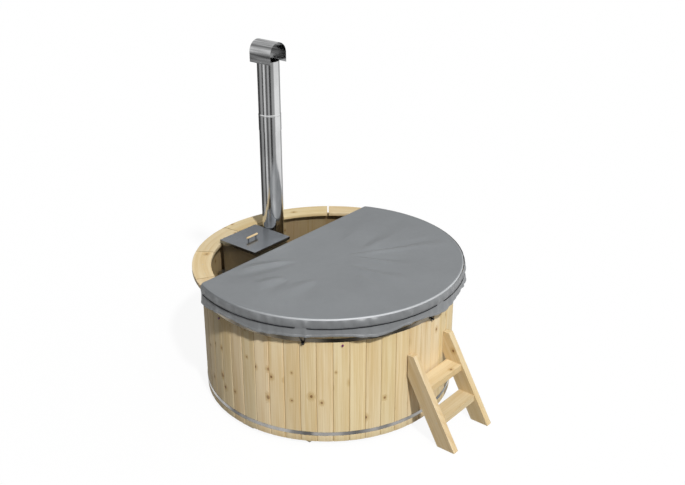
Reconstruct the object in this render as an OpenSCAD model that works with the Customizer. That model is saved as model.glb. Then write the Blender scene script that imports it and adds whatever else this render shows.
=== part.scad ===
// Round wooden hot tub with an inside wood stove, a half cover and steps.
// Millimetres. The origin is on the tub's axis at the ground, +Z is up,
// the stove stands towards +Y and the steps towards -Y.

/* [Tub wall] */
// Outer radius of the stave wall
tub_r = 843; // [800:1:900]
// Number of staves in the wall
stave_count = 52; // [44:1:60]
// Thickness of a stave
stave_t = 28; // [24:1:34]
// Length of a stave
stave_h = 851; // [800:1:950]
// Height of the stave ends above the ground
stave_lift = 34; // [20:1:60]
// Distance from the stave ends up to the floor boards
chime = 36; // [25:1:45]
// Depth of the groove in the staves that holds the floor
croze_d = 8; // [5:1:11]
// Chamfer on the outer edges of each stave
stave_chamfer = 4; // [1:0.5:6]

/* [Hoops] */
// Width of the steel hoops
hoop_w = 25; // [18:1:32]
// Thickness of the steel hoops
hoop_t = 1.5; // [1:0.1:2.5]
// Height of the lower hoop's middle above the stave ends
lower_hoop_rise = 57; // [45:1:80]
// Distance from the rim's top down to the upper hoop's middle
upper_hoop_drop = 153; // [147:1:165]

/* [Rim] */
// Thickness of the rim boards
rim_t = 28; // [22:1:36]
// Width of the rim boards
rim_w = 124; // [110:1:130]
// How far the rim stands out past the wall
rim_overhang = 57; // [50:1:64]
// Number of rim boards
rim_count = 13; // [10:1:16]
// Gap between rim boards
rim_gap = 4; // [1:0.5:6]
// Opening of the one joint that has dried apart
rim_open_gap = 12; // [4:1:14]

/* [Floor] */
// Thickness of the floor boards
floor_t = 28; // [22:1:34]
// Width of the floor boards
floor_board_w = 118; // [95:1:145]
// Width of the bearers under the floor
bearer_w = 95; // [70:1:110]
// Distance between the bearers' middles
bearer_pitch = 378; // [350:1:380]

/* [Bench] */
// Height of the seat above the floor
seat_h = 372; // [320:1:420]
// Thickness of the seat boards
seat_t = 28; // [22:1:34]
// Width of the seat boards
seat_board_w = 92; // [80:1:100]
// Gap between the seat boards
seat_gap = 12; // [6:1:16]
// Height of the bench rails
bench_rail_h = 70; // [50:1:90]
// Thickness of bench rails and legs
bench_stock = 45; // [36:1:52]

/* [Stove guard] */
// Side of the guard's posts and width of its rails
guard_stock = 45; // [36:1:52]
// Thickness of the guard's rails
guard_rail_t = 28; // [22:1:34]
// Width of the guard's slats
guard_slat_w = 70; // [55:1:80]
// Gap between the guard's slats
guard_slat_gap = 28; // [20:1:34]
// Thickness of the guard's slats
guard_slat_t = 21; // [16:1:26]
// Space between the guard and the stove
guard_clear = 35; // [25:1:45]

/* [Stove] */
// Width of the stove body
stove_w = 570; // [540:1:590]
// Depth of the stove body
stove_d = 350; // [325:1:365]
// Height of the stove body
stove_h = 588; // [520:1:620]
// Middle of the stove body across the tub
stove_x = -35; // [-45:1:-25]
// Space between the stove's corner and the wall
stove_wall_gap = 13; // [8:1:30]
// Plate thickness of the stove body
stove_plate = 4; // [3:0.5:6]
// Height of the stove's feet
stove_foot_h = 14; // [8:1:24]
// Distance from the stove body's left side to the filling neck
neck_inset = 29; // [20:1:40]
// Width of the filling neck
neck_w = 315; // [290:1:320]
// Depth of the filling neck
neck_d = 302; // [280:1:310]
// Plate thickness of the filling neck
neck_plate = 3; // [2:0.5:4]
// Height of the filling neck above the rim
neck_rise = 27; // [22:1:45]

/* [Hatch lid] */
// How far the lid stands out past the neck
lid_overhang = 15; // [8:1:16]
// Plate thickness of the lid
lid_plate = 3; // [2:0.5:4]
// Depth of the lid's turned down edge
lid_edge = 22; // [15:1:24]
// Radius of the wooden grip
grip_r = 6.5; // [6:0.5:10]
// Length of the wooden grip
grip_l = 100; // [90:1:130]
// Height of the grip's middle above the lid
grip_rise = 25; // [23:1:40]

/* [Flue] */
// Outer radius of the flue pipe
flue_r = 75; // [65:1:76]
// Wall thickness of the flue pipe
flue_wall = 1.5; // [1:0.1:2]
// Height of the lower pipe's end above the ground
lower_pipe_top = 1760; // [1700:1:1900]
// Length of the socket on the upper pipe
socket_l = 119; // [80:1:150]
// Height of the upper pipe's end above the ground
flue_top = 2126; // [2000:1:2300]
// Length of the cowl along the wind
cowl_l = 186; // [160:1:220]
// Height of the cowl's straight sides
cowl_side = 64; // [50:1:90]
// How far the cowl's sides reach down over the pipe
cowl_lap = 10; // [8:1:20]

/* [Cover] */
// Thickness of the cover on the rim
cover_t = 27; // [22:1:40]
// Radius of the cover's two corners
cover_corner_r = 25; // [15:1:60]
// How far the cover's hem hangs below the rim's top
hem_drop = 97; // [83:1:113]
// Thickness of the cover's cloth
cloth_t = 2.5; // [2:0.1:3]
// Radius of the elastic cord
cord_r = 2.5; // [2:0.1:3]
// Distance from the rim's top down to the elastic cord
cord_drop = 41; // [37:1:47]

/* [Drain] */
// Radius of the drain's hose spigot
spigot_r = 19; // [17:0.5:20]
// Length of the drain's hose spigot
spigot_l = 40; // [30:1:60]
// Radius of the waterway through the drain
waterway_r = 14; // [10:0.5:15]
// Height of the drain above the floor
drain_rise = 42; // [38:1:70]
// Length of the valve's lever
lever_l = 110; // [80:1:130]

/* [Steps] */
// Height of the steps
steps_h = 569; // [540:1:640]
// Width over the two stringers
steps_w = 432; // [380:1:480]
// Slope of the stringers
steps_angle = 60; // [56:1:66]
// Width of a stringer
stringer_w = 110; // [95:1:120]
// Thickness of a stringer
stringer_t = 45; // [36:1:50]
// Depth of the level cut at a stringer's top
stringer_top = 42; // [36:1:46]
// Height from one tread to the next
tread_rise = 188; // [180:1:195]
// Depth of a tread
tread_d = 116; // [100:1:118]
// Thickness of a tread
tread_t = 42; // [32:1:48]

/* [Hidden] */

wood = [0.87, 0.76, 0.58];
pale_wood = [0.90, 0.80, 0.64];
steel = [0.66, 0.68, 0.70];
dark_steel = [0.36, 0.38, 0.41];
cloth = [0.52, 0.53, 0.54];
black = [0.08, 0.08, 0.09];

round_fn = 180;
small_fn = 48;
eps = 0.01;
far = 2000;
// Clearance between parts that meet on a curved or faceted face
seat = 0.3;
// Running clearance of a shaft in its hole
running = 0.06;

inner_r = tub_r - stave_t;
rim_out = tub_r + rim_overhang;
rim_in = rim_out - rim_w;
rim_z = stave_lift + stave_h;
rim_top = rim_z + rim_t;
floor_z = stave_lift + chime;
floor_top = floor_z + floor_t;
pitch = 360 / stave_count;
stave_phase = 0.6;
tongue_w = stave_t * 0.3;
tongue_d = 6;
joint_play = 0.05;

lower_hoop_z = stave_lift + lower_hoop_rise;
upper_hoop_z = rim_top - upper_hoop_drop;
hoop_r = tub_r + 0.1;
hoop_break = 20;
hoop_break_angle = 38;
lug_h = 30;
lug_t = 4;

rim_first_joint = 95.8;
rim_pitch = 360 / rim_count;
rim_open_joint = 11;
rim_screw_l = rim_t + 42;
screw_r = 2.2;
screw_head_r = 4.5;
screw_head_h = 3;

bench_first = 170;
bench_sectors = 5;
bench_pitch = 40;
seat_boards = 3;
seat_z = floor_top + seat_h;
seat_out = (inner_r - 4) * cos(bench_pitch / 2);
seat_in = seat_out - seat_boards * seat_board_w - (seat_boards - 1) * seat_gap;
bench_rail_z = seat_z - seat_t - bench_rail_h;
bench_rail_in = seat_in / cos(bench_pitch / 2) + 8;
bench_rail_out = sqrt(pow(inner_r, 2) - pow(bench_stock / 2, 2)) - seat;
bench_leg_in = bench_rail_in + 10;
bench_leg_out = bench_rail_out - 30 - bench_stock;

stove_left = stove_x - stove_w / 2;
stove_right = stove_x + stove_w / 2;
stove_far = max(-stove_left, stove_right);
stove_back = sqrt(pow(inner_r - stove_wall_gap, 2) - pow(stove_far, 2));
stove_front = stove_back - stove_d;
stove_z = floor_top + stove_foot_h;
stove_top = stove_z + stove_h;
neck_left = stove_left + neck_inset;
neck_right = neck_left + neck_w;
neck_front = stove_front + 11;
neck_top = rim_top + neck_rise;
firebox_w = stove_w - 2 * stove_plate;
firebox_d = stove_d - 2 * stove_plate;
grate_bar = 12;
grate_step = 30;
grate_cross = 20;
grate_leg_h = 60;
collar_h = 60;
collar_in = flue_r + seat;
collar_out = collar_in + 2;
collar_flange_r = collar_out + 12;
neck_flue_gap = 2.7;
flue_back_gap = 37.7;
flue_x = neck_right + neck_flue_gap + collar_flange_r;
flue_y = stove_back - flue_back_gap - collar_flange_r;
bracket_w = 40;
bracket_t = 4;
guard_back = stove_front - guard_clear;
cover_edge = guard_back;

guard_front = guard_back - guard_stock;
guard_half = sqrt(pow(rim_in, 2) - pow(guard_back, 2)) - 1;
guard_post_x = guard_half - 8 - guard_stock;
guard_foot = 60;
slat_pitch = guard_slat_w + guard_slat_gap;
slat_count = floor((2 * (guard_post_x + guard_stock) + guard_slat_gap) / slat_pitch);

lid_top = neck_top + lid_plate;
lid_x = neck_left + neck_w / 2;
lid_y = neck_front + neck_d / 2;
grip_x = lid_x - 27;
grip_post_r = 4;
grip_post_x = grip_l / 2 - 14;

pipe_socket_r = flue_r + seat + flue_wall;
socket_z = lower_pipe_top - socket_l + 9;
cowl_r = flue_r + seat + flue_wall;
cowl_z = flue_top - cowl_lap + cowl_side;

// Room between the eyelets and the rim when the cover lifts
cover_clear = 0.4;
flange_t = 1;
eyelet_gap = 0.4;
eyelet_wall = 0.8;
eyelet_play = 1;
cord_z = rim_top - cord_drop;
hem_z = rim_top - hem_drop;
cover_out = rim_out + cover_clear + flange_t + cloth_t;
skirt_top = rim_top + 0.2;
cover_z = skirt_top + 0.1;
cover_top = rim_top + cover_t;
corner_x = sqrt(pow(cover_out - cover_corner_r, 2) - pow(cover_edge - cover_corner_r, 2));
corner_angle = atan2(cover_edge - cover_corner_r, corner_x);
cloth_steps = 96;
// How far the hem stands out on the mean, and how far its folds swing from there
fold_out = 8.5;
fold_swing = 7.5;

hook_angles = [-150, -90, -30];
hook_half_w = 6;
hook_arm_t = 3;
hook_plate_t = 2.5;
hook_reach = 16;
hook_lip = 7;
hook_plate_up = 3.5;
hook_plate_down = 17;
hook_screw_drop = 10;
hook_arm_z = upper_hoop_z - hoop_w / 2 - hook_plate_up - 1;
loop_half_angle = 2.3;
eyelet_r = 5;
eyelet_flange_r = 9;
cord_out = cover_out + flange_t + seat + cord_r;
cord_end_angle = corner_angle - 2;
cord_sides = 8;
knob_first = 46.1;
knob_count = 6;
knob_z = rim_top - 187;

drain_z = floor_top + drain_rise;
drain_angle = stave_phase - pitch / 2;
drain_tube_r = waterway_r + 6;
flange_r = 30;
drain_nut_l = 12;
valve_r = 27;
valve_l = 54;
valve_start = tub_r + 19;
valve_mid = valve_start + valve_l / 2;
ball_r = waterway_r + 4;
stem_r = 5;
lever_z = drain_z + valve_r + 9;
spigot_collar = 10;

stringer_in = steps_w / 2 - stringer_t;
wall_y = -sqrt(pow(tub_r, 2) - pow(stringer_in, 2)) - 0.5;
steps_top_y = wall_y - stringer_top;
steps_foot_y = steps_top_y - steps_h / tan(steps_angle);
stringer_run = stringer_w / sin(steps_angle);
tread_back_shift = 10;
tread_count = 2;

function unit(v) = v / norm(v);
function polar(r, a) = [r * cos(a), r * sin(a)];

// Height of the hem, which hangs lower on some sides than on others
function hem_at(a) = hem_z - 7 * cos(9 * (a + 163)) + 4 * sin(13 * a);
// How far the skirt's folds swing in and out at a direction, from -1 to 1
function fold_at(a) = 0.5 * sin(11 * a + 20) + 0.3 * sin(17 * a + 70) + 0.2 * sin(23 * a);

// One board cut to a length of a ring, with both ends cut square to the ring
module ring_board(r_in, r_out, h, a_from, a_to) {
    rotate([0, 0, a_from])
        rotate_extrude(angle = a_to - a_from, $fn = round_fn)
            translate([r_in, 0])
                square([r_out - r_in, h]);
}

// Countersunk wood screw with its head's top at the origin, pointing down
module wood_screw(length) {
    translate([0, 0, -screw_head_h])
        cylinder(r1 = screw_r, r2 = screw_head_r, h = screw_head_h, $fn = small_fn);
    translate([0, 0, -length])
        cylinder(r = screw_r, h = length - screw_head_h + eps, $fn = small_fn);
}

// Plan of one stave: a tongue on its left side and a groove on its right
module stave_plan() {
    a = pitch / 2;
    mid = inner_r + stave_t / 2;
    function at(r, d) = [r * cos(a) - d * sin(a), r * sin(a) + d * cos(a)];
    function flip(p) = [p.x, -p.y];
    groove_w = tongue_w + 0.4;
    groove_d = tongue_d + 0.4;
    left = [
        at(inner_r - 5, -joint_play),
        at(mid - tongue_w / 2, -joint_play),
        at(mid - tongue_w / 2, tongue_d),
        at(mid + tongue_w / 2, tongue_d),
        at(mid + tongue_w / 2, -joint_play),
        at(tub_r - stave_chamfer, -joint_play),
        at(tub_r + 5, -joint_play - stave_chamfer - 5)
    ];
    right = [
        flip(at(tub_r + 5, -joint_play - stave_chamfer - 5)),
        flip(at(tub_r - stave_chamfer, -joint_play)),
        flip(at(mid + groove_w / 2, -joint_play)),
        flip(at(mid + groove_w / 2, -joint_play - groove_d)),
        flip(at(mid - groove_w / 2, -joint_play - groove_d)),
        flip(at(mid - groove_w / 2, -joint_play)),
        flip(at(inner_r - 5, -joint_play))
    ];
    polygon(concat(left, right));
}

// Staves by their numbers round the wall, with the groove for the floor
module stave_row(numbers) {
    difference() {
        intersection() {
            translate([0, 0, stave_lift])
                cylinder(r = tub_r, h = stave_h, $fn = round_fn);
            for (i = numbers)
                rotate([0, 0, stave_phase + (i + 0.5) * pitch])
                    translate([0, 0, stave_lift])
                        linear_extrude(stave_h)
                            stave_plan();
        }
        translate([0, 0, stave_lift - 1])
            cylinder(r = inner_r, h = stave_h + 2, $fn = round_fn);
        translate([0, 0, floor_z])
            cylinder(r = inner_r + croze_d, h = floor_t + 0.4, $fn = round_fn);
    }
}

module staves() {
    color(wood)
        stave_row([0 : stave_count - 2]);
}

// The last stave, with the drain's hole through its middle
module drain_stave() {
    color(wood)
        difference() {
            stave_row([stave_count - 1]);
            on_drain(inner_r - 20)
                cylinder(r = drain_tube_r + seat, h = stave_t + 40, $fn = small_fn);
        }
}

module hoop(z) {
    half = asin(hoop_break / 2 / hoop_r);
    translate([0, 0, z - hoop_w / 2])
        ring_board(hoop_r, hoop_r + hoop_t, hoop_w,
            hoop_break_angle + half, hoop_break_angle + 360 - half);
}

module upper_hoop() {
    color(steel) hoop(upper_hoop_z);
}

module lower_hoop() {
    color(steel) hoop(lower_hoop_z);
}

// Two angle lugs per hoop, one each side of its break
module hoop_lugs() {
    color(steel)
        for (z = [lower_hoop_z, upper_hoop_z], side = [-1, 1])
            rotate([0, 0, hoop_break_angle])
                translate([hoop_r + hoop_t, side * hoop_break / 2, z - hoop_w / 2])
                    translate([0.2, side < 0 ? -lug_t : 0, 0])
                        difference() {
                            cube([lug_h, lug_t, hoop_w]);
                            translate([lug_h * 0.6, -1, hoop_w / 2])
                                rotate([-90, 0, 0])
                                    cylinder(r = 4.2, h = lug_t + 2, $fn = small_fn);
                        }
}

module hoop_bolts() {
    color(steel)
        for (z = [lower_hoop_z, upper_hoop_z])
            rotate([0, 0, hoop_break_angle])
                translate([hoop_r + hoop_t + 0.2 + lug_h * 0.6, 0, z])
                    rotate([-90, 0, 0]) {
                        translate([0, 0, -hoop_break / 2 - lug_t - 8])
                            cylinder(r = 4, h = hoop_break + 2 * lug_t + 16, $fn = small_fn);
                        for (end = [-1, 1])
                            translate([0, 0, end * (hoop_break / 2 + lug_t + 3.25)])
                                cylinder(r = 7.5, h = 6.5, center = true, $fn = 6);
                    }
}

module rim_boards() {
    function half_gap(k) = (k == rim_open_joint ? rim_open_gap : rim_gap) / 2;
    function gap_angle(k) = asin(half_gap(k % rim_count) / rim_out);
    color(pale_wood)
        for (k = [0 : rim_count - 1])
            translate([0, 0, rim_z])
                ring_board(rim_in, rim_out, rim_t,
                    rim_first_joint + k * rim_pitch + gap_angle(k),
                    rim_first_joint + (k + 1) * rim_pitch - gap_angle(k + 1));
}

// Three screws through each rim board into the stave tops
module rim_screws() {
    color(steel)
        for (k = [0 : rim_count - 1], share = [0.15, 0.5, 0.85])
            rotate([0, 0, rim_first_joint + (k + share) * rim_pitch])
                translate([tub_r - stave_t / 2, 0, rim_top])
                    wood_screw(rim_screw_l);
}

module bearers() {
    color(wood)
        for (i = [-2 : 2]) {
            side = abs(i) * bearer_pitch + bearer_w / 2;
            half = sqrt(pow(inner_r - 3, 2) - pow(side, 2));
            translate([-half, i * bearer_pitch - bearer_w / 2, 0])
                cube([2 * half, bearer_w, floor_z]);
        }
}

module floor_boards() {
    r = inner_r + croze_d - 0.5;
    count = ceil(2 * r / floor_board_w);
    color(wood)
        intersection() {
            translate([0, 0, floor_z])
                cylinder(r = r, h = floor_t, $fn = round_fn);
            for (i = [0 : count - 1])
                translate([(i - count / 2) * floor_board_w + joint_play, -far, floor_z - 1])
                    cube([floor_board_w - 2 * joint_play, 2 * far, floor_t + 2]);
        }
}

// Straight boards in sectors round the wall
module bench_boards() {
    function half_length(d) = d * tan(bench_pitch / 2) - 2;
    color(wood)
        for (s = [0 : bench_sectors - 1], b = [0 : seat_boards - 1]) {
            d0 = seat_in + b * (seat_board_w + seat_gap);
            d1 = d0 + seat_board_w;
            rotate([0, 0, bench_first + (s + 0.5) * bench_pitch])
                translate([0, 0, seat_z - seat_t])
                    linear_extrude(seat_t)
                        polygon([[d0, -half_length(d0)], [d1, -half_length(d1)],
                            [d1, half_length(d1)], [d0, half_length(d0)]]);
        }
}

module bench_rails() {
    color(wood)
        for (s = [0 : bench_sectors])
            rotate([0, 0, bench_first + s * bench_pitch])
                translate([bench_rail_in, -bench_stock / 2, bench_rail_z])
                    cube([bench_rail_out - bench_rail_in, bench_stock, bench_rail_h]);
}

module bench_legs() {
    color(wood)
        for (s = [0 : bench_sectors], r = [bench_leg_in, bench_leg_out])
            rotate([0, 0, bench_first + s * bench_pitch])
                translate([r, -bench_stock / 2, floor_top])
                    cube([bench_stock, bench_stock, bench_rail_z - floor_top]);
}

module guard_posts() {
    color(wood)
        for (x = [-guard_post_x - guard_stock, guard_post_x])
            translate([x, guard_front, floor_top])
                cube([guard_stock, guard_stock, rim_top - guard_rail_t - floor_top]);
}

module guard_rails() {
    color(wood) {
        translate([-guard_half, guard_front, rim_top - guard_rail_t])
            cube([2 * guard_half, guard_stock, guard_rail_t]);
        translate([-guard_post_x, guard_front, floor_top + guard_foot])
            cube([2 * guard_post_x, guard_stock, guard_rail_t]);
    }
}

module guard_slats() {
    first = -(slat_count * slat_pitch - guard_slat_gap) / 2;
    color(wood)
        for (i = [0 : slat_count - 1])
            translate([first + i * slat_pitch, guard_front - guard_slat_t, floor_top + 20])
                cube([guard_slat_w, guard_slat_t, rim_top - 3 - floor_top - 20]);
}

module stove_body() {
    t = stove_plate;
    color(dark_steel)
        difference() {
            translate([stove_left, stove_front, stove_z])
                cube([stove_w, stove_d, stove_h]);
            translate([stove_left + t, stove_front + t, stove_z + t])
                cube([stove_w - 2 * t, stove_d - 2 * t, stove_h - 2 * t]);
            translate([neck_left + neck_plate, neck_front + neck_plate, stove_top - t - 1])
                cube([neck_w - 2 * neck_plate, neck_d - 2 * neck_plate, t + 2]);
            translate([flue_x, flue_y, stove_top - t - 1])
                cylinder(r = flue_r - flue_wall, h = t + 2, $fn = round_fn);
        }
}

module stove_neck() {
    color(dark_steel)
        translate([neck_left, neck_front, stove_top])
            difference() {
                cube([neck_w, neck_d, neck_top - stove_top]);
                translate([neck_plate, neck_plate, -1])
                    cube([neck_w - 2 * neck_plate, neck_d - 2 * neck_plate,
                        neck_top - stove_top + 2]);
            }
}

module stove_feet() {
    foot_w = 40;
    color(dark_steel)
        for (x = [stove_left + 30, stove_right - 30 - foot_w])
            translate([x, stove_front + 20, floor_top])
                cube([foot_w, stove_d - 40, stove_foot_h]);
}

// Angle brackets that hold the stove down on the floor
module stove_brackets() {
    color(steel)
        for (side = [-1, 1], share = [0.25, 0.75])
            translate([side < 0 ? stove_left : stove_right,
                    stove_front + share * stove_d - bracket_w / 2, floor_top])
                mirror([side < 0 ? 1 : 0, 0, 0]) {
                    cube([bracket_t, bracket_w, stove_foot_h + bracket_w - bracket_t]);
                    cube([bracket_w, bracket_w, bracket_t]);
                }
}

// Bars lying on two cross bars
module fire_grate() {
    count = floor((firebox_w - 20) / grate_step);
    color(dark_steel)
        translate([stove_x, stove_front + stove_d / 2, stove_z + stove_plate + grate_leg_h]) {
            for (i = [0 : count - 1])
                translate([(i - (count - 1) / 2) * grate_step - grate_bar / 2,
                        -firebox_d / 2 + 12, grate_cross])
                    cube([grate_bar, firebox_d - 24, grate_bar]);
            for (side = [-1, 1])
                translate([-firebox_w / 2 + 4, side * firebox_d / 3 - grate_cross / 2, 0])
                    cube([firebox_w - 8, grate_cross, grate_cross]);
        }
}

module grate_legs() {
    color(dark_steel)
        for (side = [-1, 1], end = [-1, 1])
            translate([stove_x + end * (firebox_w / 2 - 30) - grate_cross / 2,
                    stove_front + stove_d / 2 + side * firebox_d / 3 - grate_cross / 2,
                    stove_z + stove_plate])
                cube([grate_cross, grate_cross, grate_leg_h]);
}

// Flanged ring on the stove's top that the flue stands in
module flue_collar() {
    color(dark_steel)
        translate([flue_x, flue_y, stove_top])
            rotate_extrude($fn = round_fn)
                polygon([[collar_in, 0], [collar_flange_r, 0], [collar_flange_r, 3],
                    [collar_out, 3], [collar_out, collar_h], [collar_in, collar_h]]);
}

module lower_flue_pipe() {
    color(steel)
        translate([flue_x, flue_y, stove_top])
            rotate_extrude($fn = round_fn)
                translate([flue_r - flue_wall, 0])
                    square([flue_wall, lower_pipe_top - stove_top]);
}

// The upper pipe's socket slips over the end of the lower pipe
module upper_flue_pipe() {
    in = flue_r - flue_wall;
    shoulder = lower_pipe_top + 2;
    color(steel)
        translate([flue_x, flue_y, 0])
            rotate_extrude($fn = round_fn)
                polygon([[pipe_socket_r - flue_wall, socket_z], [pipe_socket_r, socket_z],
                    [pipe_socket_r, shoulder], [flue_r, shoulder + 6], [flue_r, flue_top],
                    [in, flue_top], [in, shoulder + 5],
                    [pipe_socket_r - flue_wall, shoulder - 1]]);
}

// A strip bent over the pipe, open to the wind at both ends
module flue_cowl() {
    in = cowl_r - flue_wall;
    color(steel)
        translate([flue_x, flue_y, cowl_z])
            rotate([90, 0, 0])
                translate([0, 0, -cowl_l / 2])
                    linear_extrude(cowl_l) {
                        difference() {
                            circle(r = cowl_r, $fn = round_fn);
                            circle(r = in, $fn = round_fn);
                            translate([-far, -far])
                                square([2 * far, far]);
                        }
                        for (x = [-cowl_r, in])
                            translate([x, -cowl_side])
                                square([flue_wall, cowl_side]);
                    }
}

// Rivets that hold the cowl's two sides to the pipe
module cowl_rivets() {
    color(steel)
        for (side = [-1, 1])
            translate([flue_x, flue_y, flue_top - cowl_lap / 2])
                rotate([0, side * 90, 0]) {
                    translate([0, 0, flue_r - flue_wall - 1])
                        cylinder(r = 2, h = flue_wall * 2 + seat + 2, $fn = small_fn);
                    translate([0, 0, cowl_r])
                        cylinder(r = 4, h = 1.6, $fn = small_fn);
                }
}

// Places what it holds on the wall at one direction, with X pointing out
module on_wall(a, z) {
    rotate([0, 0, a])
        translate([tub_r, 0, z])
            children();
}

// Bent strip hooks that the cover's elastic loops pull up on
module cover_hooks() {
    p = hook_plate_t + seat;
    r = p + hook_reach;
    color(black)
        for (a = hook_angles)
            on_wall(a, hook_arm_z)
                rotate([90, 0, 0])
                    translate([0, 0, -hook_half_w])
                        linear_extrude(2 * hook_half_w)
                            polygon([[seat, -hook_plate_down], [p, -hook_plate_down], [p, 0],
                                [r - hook_arm_t, 0], [r - hook_arm_t, -hook_lip],
                                [r, -hook_lip], [r, hook_arm_t], [p, hook_arm_t],
                                [p, hook_plate_up], [seat, hook_plate_up]]);
}

module hook_screws() {
    color(steel)
        for (a = hook_angles)
            on_wall(a, hook_arm_z - hook_screw_drop)
                rotate([0, 90, 0]) {
                    translate([0, 0, hook_plate_t + seat])
                        cylinder(r1 = 4, r2 = 2.5, h = 2, $fn = small_fn);
                    translate([0, 0, -18])
                        cylinder(r = 1.8, h = 18 + hook_plate_t + seat + eps, $fn = small_fn);
                }
}

module wall_knobs() {
    color([0.32, 0.12, 0.34])
        for (k = [0 : knob_count - 1])
            on_wall(knob_first + k * 360 / knob_count, knob_z)
                rotate([0, 90, 0]) {
                    translate([0, 0, 0.1])
                        cylinder(r = 4, h = 6, $fn = small_fn);
                    translate([0, 0, 6])
                        cylinder(r1 = 7, r2 = 6, h = 4, $fn = small_fn);
                }
}

// Places what it holds on the drain's axis, with Z pointing out of the tub
module on_drain(out) {
    rotate([0, 0, drain_angle])
        translate([out, 0, drain_z])
            rotate([0, 90, 0])
                children();
}

// Places what it holds upright on the axis of the valve's stem, with X pointing out
module on_stem(z) {
    rotate([0, 0, drain_angle])
        translate([valve_mid, 0, z])
            children();
}

// Flanged tube through the wall
module drain_flange() {
    flange_x = sqrt(pow(inner_r, 2) - pow(flange_r, 2)) - 0.1;
    color(steel)
        difference() {
            union() {
                on_drain(flange_x - 4)
                    cylinder(r = flange_r, h = 4, $fn = small_fn);
                on_drain(flange_x - 1)
                    cylinder(r = drain_tube_r, h = valve_start - flange_x + 1, $fn = small_fn);
            }
            on_drain(flange_x - 6)
                cylinder(r = waterway_r, h = valve_start - flange_x + 10, $fn = small_fn);
        }
}

// Perforated cap over the drain's inner mouth
module drain_strainer() {
    flange_x = sqrt(pow(inner_r, 2) - pow(flange_r, 2)) - 0.1;
    cap_r = drain_tube_r + 2;
    color(steel)
        on_drain(flange_x - 4 - 12)
            difference() {
                cylinder(r = cap_r, h = 12, $fn = small_fn);
                translate([0, 0, 2])
                    cylinder(r = cap_r - 2, h = 12, $fn = small_fn);
                for (k = [0 : 5])
                    rotate([0, 0, 60 * k])
                        translate([cap_r * 0.55, 0, -1])
                            cylinder(r = 3, h = 4, $fn = small_fn);
                translate([0, 0, -1])
                    cylinder(r = 3, h = 4, $fn = small_fn);
            }
}

module drain_nut() {
    color(steel)
        on_drain(tub_r + 0.1)
            difference() {
                cylinder(r = 33, h = drain_nut_l, $fn = 6);
                translate([0, 0, -1])
                    cylinder(r = drain_tube_r + running, h = drain_nut_l + 2, $fn = small_fn);
            }
}

// Ball valve housing with a round chamber for the ball and a hole for its stem
module drain_valve_body() {
    color(steel)
        difference() {
            union() {
                on_drain(valve_start)
                    cylinder(r = valve_r, h = valve_l, $fn = small_fn);
                on_stem(drain_z)
                    cylinder(r = 11, h = valve_r + 6, $fn = small_fn);
            }
            on_drain(valve_start - 1)
                cylinder(r = waterway_r, h = valve_l + 2, $fn = small_fn);
            on_stem(drain_z) {
                sphere(r = ball_r + running, $fn = small_fn);
                cylinder(r = stem_r + running, h = valve_r + 10, $fn = small_fn);
            }
        }
}

// Hexagon collar and plain spigot for a hose
module drain_spigot() {
    color(steel)
        difference() {
            union() {
                on_drain(valve_start + valve_l)
                    cylinder(r = valve_r - 1, h = spigot_collar, $fn = 6);
                on_drain(valve_start + valve_l + spigot_collar - 1)
                    cylinder(r = spigot_r, h = spigot_l + 1, $fn = small_fn);
            }
            on_drain(valve_start + valve_l - 1)
                cylinder(r = waterway_r, h = spigot_collar + spigot_l + 2, $fn = small_fn);
        }
}

// Ball with its waterway across the drain, so that the valve is shut
module drain_ball() {
    color(steel)
        on_stem(drain_z)
            difference() {
                union() {
                    sphere(r = ball_r, $fn = small_fn);
                    cylinder(r = stem_r, h = lever_z - drain_z, $fn = small_fn);
                }
                rotate([90, 0, 0])
                    cylinder(r = waterway_r, h = 4 * ball_r, center = true, $fn = small_fn);
            }
}

module drain_lever() {
    t = 3;
    color([0.55, 0.10, 0.10])
        on_stem(lever_z)
            difference() {
                union() {
                    translate([-8, -lever_l + 8, 0])
                        cube([16, lever_l - 8, t]);
                    translate([0, -lever_l + 8, 0])
                        cylinder(r = 8, h = t, $fn = small_fn);
                    cylinder(r = 11, h = t, $fn = small_fn);
                }
                translate([0, -lever_l + 8, -1])
                    cylinder(r = 3, h = t + 2, $fn = small_fn);
            }
}

// Outline of the cover seen from above
function cover_outline() = concat(
    [for (i = [0 : 71]) polar(cover_out, 180 - corner_angle + i * (180 + 2 * corner_angle) / 71)],
    [for (i = [1 : 5]) [corner_x, cover_edge - cover_corner_r]
        + polar(cover_corner_r, corner_angle + i * (90 - corner_angle) / 5)],
    [for (i = [1 : 9]) [corner_x * (1 - i / 5), cover_edge]],
    [for (i = [0 : 4]) [-corner_x, cover_edge - cover_corner_r]
        + polar(cover_corner_r, 90 + i * (90 - corner_angle) / 5)]
);

// Where the folds in the cover's top meet
fold_centre = [-146, -97];
fold_count = 13;
fold_height = 4;
cover_sag = 6;

function top_at(p, share) = cover_top
    - cover_sag * (1 - pow(share, 2))
    + fold_height * sin(180 * share) * cos(fold_count * atan2(p.y - fold_centre.y, p.x - fold_centre.x));

// Each row of the cover is the share of the way to its outline, or 1 and an inset, and a height
cover_edge_rows = [[26, -0.2], [12, -1.2], [4, -4], [0, -9], [0, -18]];

function cover_rows() = concat(
    [for (share = [0.14, 0.3, 0.46, 0.62, 0.78, 0.9])
        [for (o = cover_outline()) let (p = fold_centre + share * (o - fold_centre))
            [p.x, p.y, top_at(p, share)]]],
    [for (row = cover_edge_rows)
        [for (o = cover_outline()) let (p = o - row[0] * unit(o - fold_centre))
            [p.x, p.y, cover_top + row[1]]]],
    [[for (o = cover_outline()) let (p = o - 3 * unit(o - fold_centre)) [p.x, p.y, cover_z]]]
);

// Triangles between rows of equal length that run round a closed form
function row_faces(rows, n) = [
    for (r = [0 : rows - 2], i = [0 : n - 1])
        let (a = r * n + i, b = r * n + (i + 1) % n)
            each [[a, b, b + n], [a, b + n, a + n]]
];

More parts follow.
